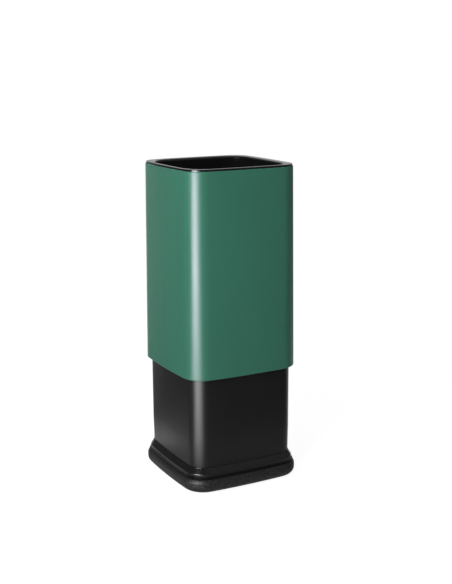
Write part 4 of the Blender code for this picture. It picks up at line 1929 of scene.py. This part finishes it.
@dataclass(frozen=True)
class DimRoom:
    """The room round the bin as glossy faces show it. It lights nothing else.

    Its floor is pale close to the bin and white behind it, and dim further out but for one bright path.
    A dim dome stands over it, whose back is left open to the white surround. Angles are in degrees, and
    lengths in metres.
    """

    radius: float = 5.0
    level: float = 0.001
    steps: int = 64
    tiers: int = 12
    opening_azimuth: float = 62.0
    opening_spread: float = 38.0
    opening_rise: Span = (14.0, 80.0)
    far_glow: float = 0.10
    near_glow: Span = (0.48, 0.50)
    near_azimuth: float = 80.0
    near_turn: Span = (0.6, 1.0)
    near_fade: Span = (0.11, 0.60)
    strip_glow: float = 0.72
    strip_across: Span = (-0.19, -0.13)
    strip_start: Span = (-0.05, 0.05)
    strip_end: Span = (0.10, 0.26)
    back_glow: float = 1.0
    back_azimuth: float = 72.0
    back_spread: Span = (42.0, 14.0)
    back_haze: float = 0.4
    shade_reach: Span = (0.155, 0.175)
    shade_glow: float = 0.15
    contact_reach: Span = (0.115, 0.14)
    contact_glow: float = 0.25
    path_glow: float = 8.5
    path_azimuth: float = 215.5
    path_spread: Span = (27.0, 9.0)
    path_reach: Span = (0.18, 0.56)
    path_power: float = 0.6
    ground_rise: Span = (0.1, 0.4)
    dome_glow: float = 0.15
    dome_azimuth: float = 320.0
    dome_spread: Span = (75.0, 35.0)
    dome_rise: Span = (0.4, 2.0)

    def build(self) -> None:
        """Makes the room, which only glossy rays see."""
        turns = [math.tau * k / self.steps for k in range(self.steps)]
        rises = [QUARTER_TURN * k / self.tiers for k in range(self.tiers + 1)]
        foot = Vector((0.0, 0.0, self.level))
        corners = [foot + direction(turn, rise) * self.radius for rise in rises for turn in turns]
        faces = [tuple(range(self.steps))]
        for tier, rise in enumerate(rises[:-1]):
            low, high = tier * self.steps, (tier + 1) * self.steps
            for k, turn in enumerate(turns):
                after = (k + 1) % self.steps
                if not self.opens(turn, rise):
                    faces.append((low + k, low + after, high + after, high + k))
        writer = RoomWriter("dim_room")
        writer.show(writer.glow(self.strength(writer)))
        room = stage_sheet("room", corners, faces, writer.material)
        Seen.GLOSSY.limit(room)
        room.visible_shadow = False

    def opens(self, turn: float, rise: float) -> bool:
        """Whether the dome is left open at one of its panels.

        Args:
            turn: The panel's azimuth, in radians.
            rise: Its elevation, in radians.

        Returns:
            True where it is open.
        """
        sill, head = (math.radians(angle) for angle in self.opening_rise)
        middle, side = math.radians(self.opening_azimuth), math.radians(self.opening_spread)
        return sill < rise < head and math.cos(turn - middle) >= math.cos(side)

    def strength(self, writer: RoomWriter) -> Term:
        """How brightly each place of the room glows.

        Args:
            writer: The writer of its material.

        Returns:
            The strength of the glow.
        """
        near = writer.ranged(writer.towards(self.near_azimuth), self.near_turn, self.near_glow)
        fade = writer.ranged(writer.radius, self.near_fade, (1.0, 0.0))
        strip = writer.ranged(writer.x, self.strip_across, (0.0, self.strip_glow))
        strip = strip * writer.ranged(writer.y, self.strip_end, (1.0, 0.0))
        strip = strip * writer.ranged(writer.y, self.strip_start)
        back = writer.sector(self.back_azimuth, self.back_spread)
        shade = writer.ranged(writer.radius, self.shade_reach, (self.shade_glow, 1.0))
        contact = writer.ranged(writer.radius, self.contact_reach, (self.contact_glow, 0.0))
        along = writer.math("POWER", writer.ranged(writer.radius, self.path_reach), self.path_power)
        path = writer.sector(self.path_azimuth, self.path_spread) * along * self.path_glow
        ground = (near * fade * fade * fade + strip + back * self.back_glow) * shade + contact + path
        low = writer.ranged(writer.z, self.ground_rise, (1.0, 0.0))
        high = writer.ranged(writer.z, self.dome_rise, (0.0, self.dome_glow))
        dome = writer.sector(self.dome_azimuth, self.dome_spread) * high
        return ground * low + back * (1.0 - low) * self.back_haze + dome + self.far_glow


@dataclass
class Studio:
    """A white floor under a white surround, a soft lamp, and what glossy faces show."""

    floor_size: float = 12.0
    floor_colour: Colour = (0.86, 0.86, 0.86)
    floor_share: float = 0.6
    floor_glow: float = 1.5
    fill: float = 0.29
    room: DimRoom = DimRoom()
    key_lamp: Lamp = Lamp(
        name="key_lamp",
        azimuth=212.0,
        elevation=28.0,
        distance=1.25,
        width=0.6,
        height=0.7,
        power=14.1,
        seen=Seen.DIFFUSE,
        aim=0.24,
    )
    strip_lamp: Lamp = Lamp(
        name="strip_lamp",
        azimuth=210.5,
        elevation=0.0,
        distance=1.05,
        width=0.50,
        height=0.50,
        power=12.0,
        seen=Seen.GLOSSY,
        aim=0.26,
    )

    def build(self) -> None:
        """Makes the world, the floor, the dim room and the lamps."""
        bpy.context.scene.view_settings.view_transform = "Standard"
        self.build_world()
        self.build_floor()
        self.room.build()
        self.key_lamp.place()
        self.strip_lamp.place()

    def build_world(self) -> None:
        """Makes a world that is white to look at and gives a weaker fill."""
        world = bpy.data.worlds.new("studio")
        bpy.context.scene.world = world
        world.use_nodes = True
        writer = NodeWriter(world.node_tree)
        background = world.node_tree.nodes["Background"]
        writer.feed(background.inputs["Color"], WHITE)
        writer.feed(background.inputs["Strength"], writer.lerp(shows_white(writer), self.fill, 1.0))

    def build_floor(self) -> None:
        """Makes a pale floor that keeps a faint shadow."""
        half = self.floor_size / 2
        corners = [(-half, -half, 0.0), (half, -half, 0.0), (half, half, 0.0), (-half, half, 0.0)]
        writer = StageWriter("pale_floor")
        matt = writer.add("ShaderNodeBsdfDiffuse", {"Color": (*self.floor_colour, 1.0)})
        glow = writer.glow(self.floor_glow)
        share = shows_white(writer) * self.floor_share
        writer.show(writer.add("ShaderNodeMixShader", {0: share, 1: matt.outputs[0], 2: glow.outputs[0]}))
        stage_sheet("floor", corners, [(0, 1, 2, 3)], writer.material)


def main() -> None:
    """Builds the bin, its studio and the camera."""
    logging.basicConfig(level=logging.INFO, format="%(name)s: %(message)s")
    shaper = Shaper(PlanSweep(), TurnedSet(), GuideRibs())
    sleeve = SleeveAssembly(shaper)
    bucket = BucketAssembly(shaper)
    base = BaseAssembly(shaper)
    zinc = ZincPlate()
    sleeve.build(SatinGreen(foot=sleeve.foot, top=sleeve.top), GlossBlack(), zinc)
    bucket.build(SatinBlack())
    base.build(GrainedBlack(groove=base.groove), GalvanisedSheet(), zinc, Rubber())
    Studio().build()
    PhotoCamera().place()


if __name__ == "__main__":
    main()
